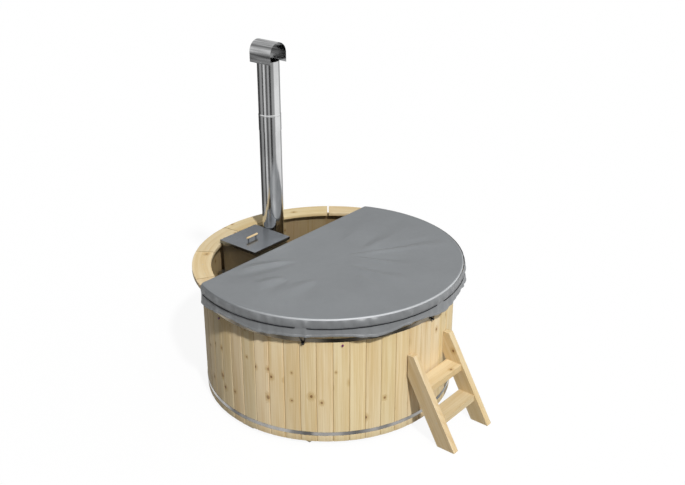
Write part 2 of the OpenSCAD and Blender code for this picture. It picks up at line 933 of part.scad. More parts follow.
module cover_pad() {
    rows = cover_rows();
    n = len(rows[0]);
    count = len(rows);
    points = concat([for (row = rows) each row],
        [[fold_centre.x, fold_centre.y, cover_top - cover_sag],
            [fold_centre.x, fold_centre.y, cover_z]]);
    top = count * n;
    caps = [for (i = [0 : n - 1])
        each [[top, (i + 1) % n, i],
            [top + 1, (count - 1) * n + i, (count - 1) * n + (i + 1) % n]]];
    color(cloth)
        polyhedron(points = points, faces = concat(row_faces(count, n), caps));
}

// The skirt hangs straight past the elastic cord and swings out in folds below it.
// Each row is a share of the way down the straight part, then of the way to the hem.
skirt_rows = [[0, 0], [0.55, 0], [1, 0], [1, 0.35], [1, 0.7], [1, 1]];
skirt_straight_z = cord_z - eyelet_flange_r - 1;

function skirt_point(a, row, out) =
    let (z = skirt_top + (skirt_straight_z - skirt_top) * row[0]
            + (hem_at(a) - skirt_straight_z) * row[1],
        r = cover_out - (out ? 0 : cloth_t) + pow(row[1], 1.3) * (fold_out + fold_swing * fold_at(a)))
    [r * cos(a), r * sin(a), z];

module cover_skirt() {
    from = 180 - corner_angle;
    span = 180 + 2 * corner_angle;
    rows = len(skirt_rows);
    ring = 2 * rows;
    points = [for (i = [0 : cloth_steps]) let (a = from + i * span / cloth_steps)
        each concat(
            [for (row = skirt_rows) skirt_point(a, row, true)],
            [for (k = [rows - 1 : -1 : 0]) skirt_point(a, skirt_rows[k], false)])];
    sides = [for (i = [0 : cloth_steps - 1], k = [0 : ring - 1])
        let (a = i * ring + k, b = i * ring + (k + 1) % ring)
            each [[a, a + ring, b + ring], [a, b + ring, b]]];
    last = cloth_steps * ring;
    ends = [for (k = [0 : rows - 2])
        each [[k, k + 1, ring - 2 - k], [k, ring - 2 - k, ring - 1 - k],
            [last + k, last + ring - 2 - k, last + k + 1],
            [last + k, last + ring - 1 - k, last + ring - 2 - k]]];
    color(cloth)
        difference() {
            polyhedron(points = points, faces = concat(sides, ends));
            for (a = eyelet_angles)
                rotate([0, 0, a])
                    translate([cover_out - 12, 0, cord_z])
                        rotate([0, 90, 0])
                            cylinder(r = eyelet_r + eyelet_play, h = 24, $fn = small_fn);
        }
}

eyelet_angles = [for (a = hook_angles, side = [-1, 1]) a + side * loop_half_angle];

// Rings clinched round the cord's holes in the skirt
module cover_eyelets() {
    depth = cloth_t + 2 * flange_t;
    color(steel)
        for (a = eyelet_angles)
            rotate([0, 0, a])
                translate([cover_out + flange_t, 0, cord_z])
                    rotate([0, -90, 0])
                        rotate_extrude($fn = small_fn)
                            polygon([[eyelet_r, 0], [eyelet_flange_r, 0],
                                [eyelet_flange_r, flange_t - eyelet_gap],
                                [eyelet_r + eyelet_wall, flange_t - eyelet_gap],
                                [eyelet_r + eyelet_wall, depth - flange_t + eyelet_gap],
                                [eyelet_flange_r, depth - flange_t + eyelet_gap],
                                [eyelet_flange_r, depth], [eyelet_r, depth]]);
}

// A point of the cord near one direction: how far out, along and up
function near(a, r, along, z) = [r * cos(a) - along * sin(a), r * sin(a) + along * cos(a), z];

// One loop of the cord: in through an eyelet, down under a hook and back out
function loop_points(h) =
    let (e = cord_out * sin(loop_half_angle),
        bend = 5,
        in_r = cord_out - bend,
        hook_r = tub_r + seat + hook_plate_t + (hook_reach - hook_arm_t) / 2,
        low = hook_arm_z - cord_r - seat,
        side = hook_half_w + cord_r + 0.4,
        a0 = h - loop_half_angle,
        down = [
            near(a0, cord_out, -bend, cord_z),
            near(a0, in_r + bend * cos(35), -bend + bend * sin(35), cord_z),
            near(a0, in_r + bend * cos(70), -bend + bend * sin(70), cord_z),
            near(a0, in_r - 2, 0, cord_z),
            near(a0, in_r - 7, 1, cord_z - 2),
            near(a0, in_r - 10, 2, cord_z - 7),
            near(h, hook_r + 1, -side - 1, hook_arm_z + 14),
            near(h, hook_r, -side, hook_arm_z),
            near(h, hook_r, -side + 1, hook_arm_z - 2.2),
            near(h, hook_r, -side + 3.2, low)
        ])
    concat(down, [for (i = [len(down) - 1 : -1 : 0]) mirrored(down[i], h)]);

// The same point on the other side of a hook
function mirrored(p, h) =
    let (r = p.x * cos(h) + p.y * sin(h), along = -p.x * sin(h) + p.y * cos(h))
    near(h, r, -along, p.z);

// A run of the cord round the skirt, with a point every few degrees
function run_points(a_from, a_to) =
    let (n = max(1, round((a_to - a_from) / 3.2)))
    [for (i = [0 : n]) concat(polar(cord_out, a_from + i * (a_to - a_from) / n), [cord_z])];

function cord_route() =
    let (clear_angle = loop_half_angle + 0.9, first = -180 - cord_end_angle)
    concat(
        run_points(first, hook_angles[0] - clear_angle),
        loop_points(hook_angles[0]),
        run_points(hook_angles[0] + clear_angle, hook_angles[1] - clear_angle),
        loop_points(hook_angles[1]),
        run_points(hook_angles[1] + clear_angle, hook_angles[2] - clear_angle),
        loop_points(hook_angles[2]),
        run_points(hook_angles[2] + clear_angle, cord_end_angle)
    );

// A tube of triangles along a route, whose rings turn no more than the route does
module cord_tube(route, r, sides) {
    n = len(route);
    function tangent(i) = unit(route[min(i + 1, n - 1)] - route[max(i - 1, 0)]);
    function squared(v, t) = unit(v - (v * t) * t);
    normals = [for (i = 0, v = squared([0, 0, 1], tangent(0)); i < n;
        i = i + 1, v = i < n ? squared(v, tangent(i)) : v) v];
    points = [for (i = [0 : n - 1], k = [0 : sides - 1])
        let (u = normals[i], w = cross(tangent(i), u), a = 360 * k / sides)
            route[i] + r * (u * cos(a) + w * sin(a))];
    walls = [for (i = [0 : n - 2], k = [0 : sides - 1])
        let (a = i * sides + k, b = i * sides + (k + 1) % sides)
            each [[a, b, b + sides], [a, b + sides, a + sides]]];
    caps = [for (k = [1 : sides - 2])
        each [[0, k + 1, k], [(n - 1) * sides, (n - 1) * sides + k, (n - 1) * sides + k + 1]]];
    polyhedron(points = points, faces = [for (f = concat(walls, caps)) [f[2], f[1], f[0]]]);
}

module elastic_cord() {
    color(black)
        cord_tube(cord_route(), cord_r, cord_sides);
}

module hatch_lid() {
    w = neck_w + 2 * lid_overhang;
    d = neck_d + 2 * lid_overhang;
    color([0.45, 0.48, 0.52])
        difference() {
            translate([lid_x - w / 2, lid_y - d / 2, lid_top - lid_edge])
                cube([w, d, lid_edge]);
            translate([lid_x - w / 2 + lid_plate, lid_y - d / 2 + lid_plate,
                    lid_top - lid_edge - 1])
                cube([w - 2 * lid_plate, d - 2 * lid_plate, lid_edge - lid_plate + 1]);
        }
}

module grip_posts() {
    color(steel)
        for (side = [-1, 1])
            translate([grip_x + side * grip_post_x, lid_y, lid_top])
                cylinder(r = grip_post_r, h = grip_rise, $fn = small_fn);
}

module hatch_grip() {
    color([0.93, 0.87, 0.76])
        difference() {
            translate([grip_x, lid_y, lid_top + grip_rise])
                rotate([0, 90, 0])
                    cylinder(r = grip_r, h = grip_l, center = true, $fn = small_fn);
            for (side = [-1, 1])
                translate([grip_x + side * grip_post_x, lid_y, lid_top])
                    cylinder(r = grip_post_r + running, h = grip_rise, $fn = small_fn);
        }
}

// One stringer: a sloping board cut level at its foot and top, and plumb at the tub
module stringer(x) {
    back_z = (wall_y - steps_foot_y - stringer_run) * tan(steps_angle);
    color(pale_wood)
        translate([x, 0, 0])
            rotate([90, 0, 90])
                linear_extrude(stringer_t)
                    polygon([[steps_foot_y, 0], [steps_foot_y + stringer_run, 0],
                        [wall_y, back_z], [wall_y, steps_h], [steps_top_y, steps_h]]);
}

module stringer_left() {
    stringer(-steps_w / 2);
}

module stringer_right() {
    stringer(stringer_in);
}

function tread_mid(k) = steps_foot_y + stringer_run / 2 + tread_back_shift
    + (k * tread_rise - tread_t / 2) / tan(steps_angle);

module treads() {
    color(pale_wood)
        for (k = [1 : tread_count])
            translate([-stringer_in, tread_mid(k) - tread_d / 2, k * tread_rise - tread_t])
                cube([2 * stringer_in, tread_d, tread_t]);
}

// Two screws through each stringer into each end of a tread
module tread_screws() {
    color(steel)
        for (k = [1 : tread_count], side = [-1, 1], end = [-1, 1])
            translate([side * steps_w / 2, tread_mid(k) + end * tread_d / 4,
                    k * tread_rise - tread_t / 2])
                rotate([0, side * 90, 0])
                    wood_screw(stringer_t + 45);
}

staves();
drain_stave();
upper_hoop();
lower_hoop();
hoop_lugs();
hoop_bolts();
rim_boards();
rim_screws();
bearers();
floor_boards();
bench_boards();
bench_rails();
bench_legs();
guard_posts();
guard_rails();
guard_slats();
stove_body();
stove_neck();
stove_feet();
stove_brackets();
fire_grate();
grate_legs();
flue_collar();
lower_flue_pipe();
upper_flue_pipe();
flue_cowl();
cowl_rivets();
cover_hooks();
hook_screws();
wall_knobs();
drain_flange();
drain_strainer();
drain_nut();
drain_valve_body();
drain_spigot();
drain_ball();
drain_lever();
cover_pad();
cover_skirt();
cover_eyelets();
elastic_cord();
hatch_lid();
grip_posts();
hatch_grip();
stringer_left();
stringer_right();
treads();
tread_screws();
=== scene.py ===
"""Wooden hot tub with an inside stove, a half cover and steps: its finishes, soft cover and fine pieces."""

import math

import bmesh
import bpy
from bpy.props import FloatProperty, FloatVectorProperty, IntProperty, PointerProperty
from mathutils import Matrix, Vector, geometry, noise


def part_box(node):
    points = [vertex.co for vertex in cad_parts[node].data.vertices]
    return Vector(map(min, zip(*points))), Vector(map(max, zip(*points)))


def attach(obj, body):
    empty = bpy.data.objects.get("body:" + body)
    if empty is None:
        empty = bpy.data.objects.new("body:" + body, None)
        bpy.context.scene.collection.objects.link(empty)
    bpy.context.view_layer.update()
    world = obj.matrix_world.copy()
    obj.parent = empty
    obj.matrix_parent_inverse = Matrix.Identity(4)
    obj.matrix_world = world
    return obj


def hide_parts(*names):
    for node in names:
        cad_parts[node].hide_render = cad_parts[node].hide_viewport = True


bl_info = {
    "name": "Wooden hot tub",
    "version": (1, 0, 0),
    "blender": (4, 5, 0),
    "location": "View3D > Sidebar > Hot tub",
    "description": "Dresses a wooden hot tub: spruce, steel, padded cover, elastic cord and steps",
    "category": "Add Mesh",
}

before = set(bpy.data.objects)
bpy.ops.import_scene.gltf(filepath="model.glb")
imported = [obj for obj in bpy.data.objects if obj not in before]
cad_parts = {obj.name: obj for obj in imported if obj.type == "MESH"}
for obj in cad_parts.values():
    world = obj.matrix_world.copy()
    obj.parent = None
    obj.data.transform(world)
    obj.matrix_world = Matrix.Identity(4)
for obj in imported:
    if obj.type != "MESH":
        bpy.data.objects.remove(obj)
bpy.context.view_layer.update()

# Sizes read from the CAD parts, in metres


def reach(node):
    """Least and greatest distance of a node's points from the tub's axis."""
    distances = [math.hypot(v.co.x, v.co.y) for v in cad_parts[node].data.vertices]
    return min(distances), max(distances)


WALL_IN, WALL_OUT = reach("staves")
WALL_FOOT, WALL_TOP = (corner.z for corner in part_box("staves"))
RIM_OUT = reach("rim_boards")[1]
RIM_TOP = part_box("rim_boards")[1].z
FLOOR_LOW, FLOOR_HIGH = (corner.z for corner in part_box("floor_boards"))
PIPE_LOW, PIPE_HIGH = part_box("lower_flue_pipe")
FLUE_X = (PIPE_LOW.x + PIPE_HIGH.x) / 2
FLUE_Y = (PIPE_LOW.y + PIPE_HIGH.y) / 2
FLUE_R = (PIPE_HIGH.x - PIPE_LOW.x) / 2
SOCKET_LOW, SOCKET_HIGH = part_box("upper_flue_pipe")
SOCKET_R = (SOCKET_HIGH.x - SOCKET_LOW.x) / 2
PAD_LOW, PAD_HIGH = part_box("cover_pad")

# How the boards lie, in degrees and metres
STAVE_COUNT = 52
STAVE_FIRST = 0.6
STAVE_PITCH = 360 / STAVE_COUNT
STAVE_CHAMFER = 0.004
RIM_COUNT = 13
RIM_FIRST = 95.8
RIM_SCREW_SHARES = (0.15, 0.5, 0.85)
BENCH_COUNT = 9
BENCH_FIRST = 170
BENCH_JOINT_FIRST = BENCH_FIRST - 180 / BENCH_COUNT
BENCH_BOARD_STEP = 0.104
FLOOR_BOARD = 0.118
FLOOR_GROOVE = 0.008
FLOOR_PLAY = 0.0004
SLAT_STEP = 0.098
SLAT_FIRST = -0.672
GUARD_RAIL_STEP = 0.5
BEARER_STEP = 0.378
TREAD_STEP = 0.19
STRINGER_SLOPE = 60
SCREW_HEAD_RISE = 0.0001

# The cover, in metres and degrees
CLOTH_T = 0.0016
COVER_OUT = PAD_HIGH.x
COVER_EDGE = PAD_HIGH.y
COVER_CORNER = 0.025
CORNER_Y = COVER_EDGE - COVER_CORNER
CORNER_X = math.sqrt((COVER_OUT - COVER_CORNER) ** 2 - CORNER_Y ** 2)
CORNER_ANGLE = math.degrees(math.atan2(CORNER_Y, CORNER_X))
CORD_Z = RIM_TOP - 0.041
CORD_R = 0.0025
HEM_Z = RIM_TOP - 0.097
HOOK_ANGLES = (-150, -90, -30)
HOOK_ARM_Z = RIM_TOP - 0.17
HOOK_HALF_W = 0.006
HOOK_PLATE = 0.0025
HOOK_REACH = 0.016
HOOK_ARM = 0.003
LOOP_HALF_ANGLE = 2.3
EYELET_FLANGE = 0.001
# Gap between pieces that lie against each other
SEAT = 0.0003
CORD_OUT = COVER_OUT + EYELET_FLANGE + SEAT + CORD_R
# Lowest that the pad's cloth lies
PAD_UNDER = PAD_LOW.z + 0.0002
# Direction in which the painted highlight on the pad's edge is strongest, the side that faces the lights
HIGHLIGHT_TURN = math.radians(-105)


def smooth(low, high, value):
    """Rises smoothly from 0 at low to 1 at high."""
    share = min(1.0, max(0.0, (value - low) / (high - low)))
    return share * share * (3 - 2 * share)


def polar(radius, degrees, z=0.0):
    """A point at a direction round the tub's axis."""
    turn = math.radians(degrees)
    return Vector((radius * math.cos(turn), radius * math.sin(turn), z))


# Settings that a user may change


class HotTubWood(bpy.types.PropertyGroup):
    pale: FloatVectorProperty(
        name="Pale wood", description="Early wood of the spruce boards",
        subtype="COLOR", size=3, min=0, max=1, default=(0.787, 0.683, 0.465))
    warm: FloatVectorProperty(
        name="Warm wood", description="Streaks of darker wood along the grain",
        subtype="COLOR", size=3, min=0, max=1, default=(0.686, 0.54, 0.302))
    knot: FloatVectorProperty(
        name="Knots", description="Heart of the knots",
        subtype="COLOR", size=3, min=0, max=1, default=(0.15, 0.062, 0.022))
    ring: FloatProperty(
        name="Ring spacing", description="Distance from one growth ring to the next",
        unit="LENGTH", min=0.001, max=0.01, default=0.0042)
    knot_share: FloatProperty(
        name="Knot share", description="Share of the places along a board that hold a knot",
        subtype="FACTOR", min=0, max=1, default=0.5)
    edge: FloatProperty(
        name="Board edge", description="Rounding of the boards' edges",
        unit="LENGTH", min=0.0005, max=0.005, default=0.001)


class HotTubMetal(bpy.types.PropertyGroup):
    flue: FloatVectorProperty(
        name="Flue steel", description="Polished stainless steel of the flue",
        subtype="COLOR", size=3, min=0, max=1, default=(0.72, 0.725, 0.73))
    cowl: FloatVectorProperty(
        name="Cowl steel", description="Rolled sheet of the flue's cowl, dulled by the smoke",
        subtype="COLOR", size=3, min=0, max=1, default=(0.56, 0.565, 0.57))
    hoop: FloatVectorProperty(
        name="Hoop steel", description="Stainless steel of the hoops",
        subtype="COLOR", size=3, min=0, max=1, default=(0.44, 0.43, 0.41))
    # Painted reflection and shade: the upper hoop is made brown and dark to stand in for the wood it
    # mirrors and the skirt's shade.
    upper_hoop: FloatVectorProperty(
        name="Upper hoop steel", description="The upper hoop, browned by the wood's sap",
        subtype="COLOR", size=3, min=0, max=1, default=(0.30, 0.26, 0.20))
    stove: FloatVectorProperty(
        name="Stove metal", description="Plates of the stove and its neck",
        subtype="COLOR", size=3, min=0, max=1, default=(0.48, 0.465, 0.425))
    lid: FloatVectorProperty(
        name="Lid metal", description="Satin plate of the hatch lid",
        subtype="COLOR", size=3, min=0, max=1, default=(0.215, 0.231, 0.25))


class HotTubCover(bpy.types.PropertyGroup):
    cloth: FloatVectorProperty(
        name="Cover cloth", description="Coated grey cloth of the cover",
        subtype="COLOR", size=3, min=0, max=1, default=(0.168, 0.179, 0.188))
    thread: FloatVectorProperty(
        name="Thread", description="Thread of the cover's seams",
        subtype="COLOR", size=3, min=0, max=1, default=(0.30, 0.31, 0.325))
    # Painted light: a lighter copy of the cover cloth for the upright skirt, standing in for how the light
    # falls on it
    skirt: FloatVectorProperty(
        name="Skirt cloth", description="The same cloth on the skirt, paler from the sun",
        subtype="COLOR", size=3, min=0, max=1, default=(0.191, 0.198, 0.204))
    # Painted highlight: a pale colour painted round the pad's rounded edge, where the lights glint
    wear_and_highlight: FloatVectorProperty(
        name="Worn cloth", description="The cloth where the pad's round edge has rubbed pale",
        subtype="COLOR", size=3, min=0, max=1, default=(0.62, 0.635, 0.65))
    top_step: FloatProperty(
        name="Mesh step", description="Distance between points of the padded top",
        unit="LENGTH", min=0.01, max=0.05, default=0.016)
    edge_round: FloatProperty(
        name="Edge rounding", description="Radius of the padded top's edge",
        unit="LENGTH", min=0.004, max=0.013, default=0.0122)
    swell: FloatProperty(
        name="Swell", description="Most that the padding may swell in the simulation",
        unit="LENGTH", min=0, max=0.016, default=0.006)
    pressure: FloatProperty(
        name="Pressure", description="Pressure inside the padding", min=0, max=20, default=4)
    stitch: FloatProperty(
        name="Stitch", description="Distance from one stitch to the next",
        unit="LENGTH", min=0.003, max=0.02, default=0.0055)


class HotTubStage(bpy.types.PropertyGroup):
    sun: FloatProperty(
        name="Key light", description="Strength of the key light", min=0, max=10, default=2.95)
    sun_turn: FloatProperty(
        name="Key direction", description="Direction that the key light comes from",
        unit="ROTATION", default=math.radians(-118))
    sun_height: FloatProperty(
        name="Key height", description="Height of the key light above the horizon",
        unit="ROTATION", default=math.radians(46))
    sky: FloatProperty(
        name="Fill light", description="Strength of the light from all round", min=0, max=2, default=0.325)
    side_sky: FloatProperty(
        name="Side light", description="How much brighter the fill light is from the window side",
        min=0, max=1, default=0.36)
    side_turn: FloatProperty(
        name="Side direction", description="Direction that the side light comes from",
        unit="ROTATION", default=math.radians(-60))
    soft_box: FloatProperty(
        name="Soft box", description="Brightness of the soft box that glossy surfaces see in front",
        min=0, max=10, default=3.0)
    lens: FloatProperty(
        name="Lens", description="Focal length of the camera", unit="CAMERA", default=51.58)
    seed: IntProperty(
        name="Seed", description="Seed of everything random on the tub", min=0, default=7)


# Building node trees


class Tree:
    """Adds nodes to a shader or geometry tree and joins them."""

    def __init__(self, tree):
        self.tree = tree

    def node(self, kind, inputs=None, **settings):
        made = self.tree.nodes.new(kind)
        for name, value in settings.items():
            setattr(made, name, value)
        for key, value in (inputs or {}).items():
            self.feed(made.inputs[key], value)
        return made

    def feed(self, socket, value):
        if isinstance(value, bpy.types.NodeSocket):
            self.tree.links.new(value, socket)
        else:
            socket.default_value = value

    def math(self, operation, first, second=0.0, third=0.0):
        made = self.node("ShaderNodeMath", operation=operation)
        for socket, value in zip(made.inputs, (first, second, third)):
            self.feed(socket, value)
        return made.outputs[0]

    def vector(self, operation, first, second=(0, 0, 0)):
        made = self.node("ShaderNodeVectorMath", {0: first, 1: second}, operation=operation)
        plain = operation in ("DOT_PRODUCT", "LENGTH", "DISTANCE")
        return made.outputs["Value" if plain else "Vector"]

    def combine(self, x=0.0, y=0.0, z=0.0):
        return self.node("ShaderNodeCombineXYZ", {0: x, 1: y, 2: z}).outputs[0]

    def separate(self, vector):
        return self.node("ShaderNodeSeparateXYZ", {0: vector}).outputs

    def rise(self, value, low, high, start=0.0, end=1.0):
        """Goes smoothly from start at low to end at high."""
        made = self.node("ShaderNodeMapRange", interpolation_type="SMOOTHSTEP")
        for name, given in zip(("Value", "From Min", "From Max", "To Min", "To Max"),
                               (value, low, high, start, end)):
            self.feed(made.inputs[name], given)
        return made.outputs[0]

    def mix(self, factor, first, second):
        """Mixes two colours."""
        made = self.node("ShaderNodeMix", {0: factor, 6: first, 7: second}, data_type="RGBA")
        return made.outputs[2]

    def tint(self, factor, first, second):
        """Multiplies one colour by another, by a share."""
        made = self.node("ShaderNodeMix", {0: factor, 6: first, 7: second},
                         data_type="RGBA", blend_type="MULTIPLY")
        return made.outputs[2]

    def noise(self, vector, scale=1.0, detail=2.0, rough=0.5):
        made = self.node("ShaderNodeTexNoise", {"Vector": vector, "Scale": scale, "Detail": detail,
                                                "Roughness": rough})
        return made.outputs[0]


def rgba(colour):
    """A colour property with full alpha."""
    return (*colour, 1.0)


def toned(colour, share, lift=0.0):
    """A colour made lighter or darker, with full alpha."""
    return rgba(min(1.0, share * part + lift) for part in colour)


def grey(level):
    """A grey with full alpha."""
    return level, level, level, 1.0


WHITE = grey(1.0)


def blank_material(name):
    """An empty material and its tree."""
    material = bpy.data.materials.new(name)
    material.use_nodes = True
    material.node_tree.nodes.clear()
    return material, Tree(material.node_tree)


def new_material(name):
    """A material, its tree, and its main shader joined to the output."""
    material, tree = blank_material(name)
    shader = tree.node("ShaderNodeBsdfPrincipled")
    tree.node("ShaderNodeOutputMaterial", {"Surface": shader.outputs[0]})
    return material, tree, shader


def place(tree):
    """The object coordinates, which are the tub's own metres on every piece."""
    return tree.node("ShaderNodeTexCoord").outputs["Object"]


def bump(tree, shader, height, distance, strength):
    """Joins a height field to a shader's normal."""
    made = tree.node("ShaderNodeBump", {"Height": height, "Distance": distance, "Strength": strength})
    tree.feed(shader.inputs["Normal"], made.outputs[0])


# Spruce


def spruce_group(wood):
    """Node group that grows spruce along a board: rings, streaks, knots and a tint for each board."""
    group = bpy.data.node_groups.new("Spruce", "ShaderNodeTree")
    for name in ("Across", "Along", "Depth", "Board"):
        group.interface.new_socket(name=name, in_out="INPUT", socket_type="NodeSocketFloat")
    group.interface.new_socket(name="Colour", in_out="OUTPUT", socket_type="NodeSocketColor")
    group.interface.new_socket(name="Roughness", in_out="OUTPUT", socket_type="NodeSocketFloat")
    group.interface.new_socket(name="Height", in_out="OUTPUT", socket_type="NodeSocketFloat")
    tree = Tree(group)
    given = tree.node("NodeGroupInput").outputs
    across, depth = given["Across"], given["Depth"]

    draw = tree.node("ShaderNodeTexWhiteNoise", {"W": given["Board"]}, noise_dimensions="1D")
    first, second, third = tree.separate(draw.outputs["Color"])
    along = tree.math("MULTIPLY_ADD", draw.outputs["Value"], 9.7, given["Along"])
    board_shift = tree.math("MULTIPLY", first, 40.0)

    # Knots sit one to a cell, in cells stretched along the board
    cell_w, cell_l, ragged = 0.1, 0.27, 0.005
    least_knot, knot_spread = 0.004, 0.0075
    cell = tree.combine(tree.math("MULTIPLY_ADD", across, 1 / cell_w, board_shift),
                        tree.math("MULTIPLY", along, 1 / cell_l))
    cells = tree.node("ShaderNodeTexVoronoi", {"Vector": cell, "Scale": 1.0}, voronoi_dimensions="2D")
    offset = tree.vector("MULTIPLY", tree.vector("SUBTRACT", cell, cells.outputs["Position"]),
                         (cell_w, cell_l * 0.8, 0))
    chance, size, darkness = tree.separate(cells.outputs["Color"])
    wobble = tree.noise(tree.combine(across, along, depth), 130.0, 2.0)
    knot_d = tree.math("MULTIPLY_ADD", wobble, ragged, tree.vector("LENGTH", offset))
    knot_d = tree.math("SUBTRACT", knot_d, ragged / 2)
    knot_r = tree.math("MULTIPLY_ADD", tree.math("POWER", size, 2.0), knot_spread, least_knot)
    here = tree.math("LESS_THAN", chance, wood.knot_share)
    knot = tree.rise(tree.math("DIVIDE", knot_d, knot_r), 0.7, 1.15, 1.0, 0.0)
    knot = tree.math("MULTIPLY", knot, here)
    halo = tree.rise(tree.math("DIVIDE", knot_d, knot_r), 0.8, 4.0, 1.0, 0.0)
    halo = tree.math("MULTIPLY", halo, here)

    # Growth rings run round a pith that wanders beside the board, and bend round the knots
    wander = tree.noise(tree.combine(tree.math("MULTIPLY", along, 1.3), board_shift), 1.0, 1.0)
    pith_across = tree.math("MULTIPLY_ADD", second, 0.15, -0.1)
    pith_across = tree.math("MULTIPLY_ADD", wander, 0.06, pith_across)
    pith_depth = tree.math("MULTIPLY_ADD", third, 0.09, 0.03)
    away = tree.vector("LENGTH", tree.combine(tree.math("SUBTRACT", across, pith_across),
                                              tree.math("ADD", depth, pith_depth)))
    ripple = tree.noise(tree.combine(tree.math("MULTIPLY", across, 30.0),
                                     tree.math("MULTIPLY", along, 4.0), board_shift), 1.0, 2.0)
    away = tree.math("MULTIPLY_ADD", ripple, 0.004, away)
    away = tree.math("MULTIPLY_ADD", halo, 0.008, away)
    ring = tree.math("FRACT", tree.math("DIVIDE", away, wood.ring))
    late = tree.math("MULTIPLY", tree.rise(ring, 0.35, 0.92), tree.rise(ring, 0.94, 1.0, 1.0, 0.0))

    def streaks(wide, long, detail):
        spot = tree.combine(tree.math("MULTIPLY_ADD", across, wide, board_shift),
                            tree.math("MULTIPLY", along, long), tree.math("MULTIPLY", depth, wide))
        return tree.noise(spot, 1.0, detail, 0.55)

    broad = streaks(14.0, 0.9, 2.0)
    narrow = streaks(75.0, 2.2, 3.0)
    fibre = streaks(700.0, 24.0, 2.0)
    tone = tree.math("ADD", tree.math("MULTIPLY", broad, 0.6), tree.math("MULTIPLY", narrow, 0.4))
    colour = tree.mix(tree.rise(tone, 0.36, 0.66), rgba(wood.pale), rgba(wood.warm))
    ring_shade = tree.mix(late, WHITE, (0.80, 0.71, 0.58, 1))
    colour = tree.tint(0.36, colour, ring_shade)
    fibre_shade = tree.mix(fibre, (0.94, 0.93, 0.91, 1), grey(1.03))
    colour = tree.tint(1.0, colour, fibre_shade)

    # Each board has its own brightness, and leans to yellow or to pink
    hue = tree.mix(third, (1.0, 0.975, 0.90, 1), (1.0, 0.945, 0.93, 1))
    colour = tree.tint(1.0, colour, hue)
    shade = tree.mix(second, (0.87, 0.87, 0.86, 1), grey(1.05))
    colour = tree.tint(1.0, colour, shade)

    halo_shade = tree.mix(tree.math("MULTIPLY", halo, 0.7), WHITE, (0.72, 0.60, 0.42, 1))
    colour = tree.tint(1.0, colour, halo_shade)
    knot_mix = tree.math("MULTIPLY", knot, tree.math("MULTIPLY_ADD", darkness, 0.45, 0.5))
    colour = tree.mix(knot_mix, colour, rgba(wood.knot))

    height = tree.math("MULTIPLY_ADD", late, 0.5, tree.math("MULTIPLY", fibre, 0.6))
    height = tree.math("MULTIPLY_ADD", knot, 0.8, height)
    rough = tree.math("MULTIPLY_ADD", narrow, 0.22, 0.46)
    tree.node("NodeGroupOutput", {"Colour": colour, "Roughness": rough, "Height": height})
    return group


def ring_layout(count, first, grain, step=None):
    """Boards round the tub's axis, with the grain up, round the tub, along the chord or out."""
    def layout(tree):
        x, y, z = tree.separate(place(tree))
        turn = tree.math("DIVIDE", tree.math("SUBTRACT", tree.math("ARCTAN2", y, x), math.radians(first)),
                         2 * math.pi)
        sector = tree.math("MULTIPLY", tree.math("FRACT", tree.math("ADD", turn, 2.0)), count)
        number = tree.math("FLOOR", sector)
        angle = tree.math("MULTIPLY", tree.math("SUBTRACT", tree.math("SUBTRACT", sector, number), 0.5),
                          2 * math.pi / count)
        radius = tree.vector("LENGTH", tree.combine(x, y))
        arc = tree.math("MULTIPLY", angle, radius)
        if grain == "up":
            return arc, z, tree.math("SUBTRACT", WALL_OUT, radius), number
        if grain == "round":
            return radius, arc, z, number
        out = tree.math("MULTIPLY", radius, tree.math("COSINE", angle))
        side = tree.math("MULTIPLY", radius, tree.math("SINE", angle))
        if grain == "out":
            return side, out, z, number
        row = tree.math("FLOOR", tree.math("DIVIDE", out, step))
        return out, side, z, tree.math("MULTIPLY_ADD", number, 7.0, row)
    return layout


def straight_layout(along, across, depth, board=(1, 0, 0), step=1.0, start=0.0):
    """Straight boards that follow each other along one axis."""
    def layout(tree):
        spot = place(tree)
        number = tree.math("SUBTRACT", tree.vector("DOT_PRODUCT", spot, board), start)
        number = tree.math("FLOOR", tree.math("DIVIDE", number, step))
        return (tree.vector("DOT_PRODUCT", spot, across), tree.vector("DOT_PRODUCT", spot, along),
                tree.vector("DOT_PRODUCT", spot, depth), number)
    return layout


def wall_inner_shade_and_joints(tree, colour, across, along, depth):
    """Paints shade on the staves' inner faces, inside the tub, and darkens the joints on their outer faces.
    """
    thick = WALL_OUT - WALL_IN
    painted_inner_shade = tree.rise(depth, 0.6 * thick, 0.95 * thick)
    # Painted shade: the inner faces are tinted darker to stand in for the shade inside the tub.
    colour = tree.tint(painted_inner_shade, colour, (0.38, 0.35, 0.31, 1))
    half = math.pi * WALL_OUT / STAVE_COUNT
    joint = tree.rise(tree.math("ABSOLUTE", across), half - 0.0016, half - 0.0004)
    return tree.tint(joint, colour, (0.50, 0.38, 0.25, 1))


def rim_age(tree, colour, across, along, depth):
    """Darkens the end grain at the joints between the rim's boards."""
    half = tree.math("MULTIPLY", across, math.pi / RIM_COUNT)
    gap = tree.math("SUBTRACT", half, tree.math("ABSOLUTE", along))
    joint = tree.rise(gap, 0.001, 0.0042, 1.0, 0.0)
    return tree.tint(joint, colour, (0.42, 0.33, 0.22, 1))


def wet_age(tree, colour, across, along, depth):
    """Darkens boards that stand in the water."""
    return tree.tint(1.0, colour, (0.72, 0.66, 0.58, 1))


IN_THE_WATER = ("Floor spruce", "Bench board spruce", "Bench rail spruce", "Bench leg spruce",
                "Guard post spruce", "Guard rail spruce", "Guard slat spruce")
# The wall's darkening includes painted shade on its inner face.
DARKENINGS = {"Wall spruce": wall_inner_shade_and_joints, "Rim spruce": rim_age, **{name: wet_age for name in IN_THE_WATER}}

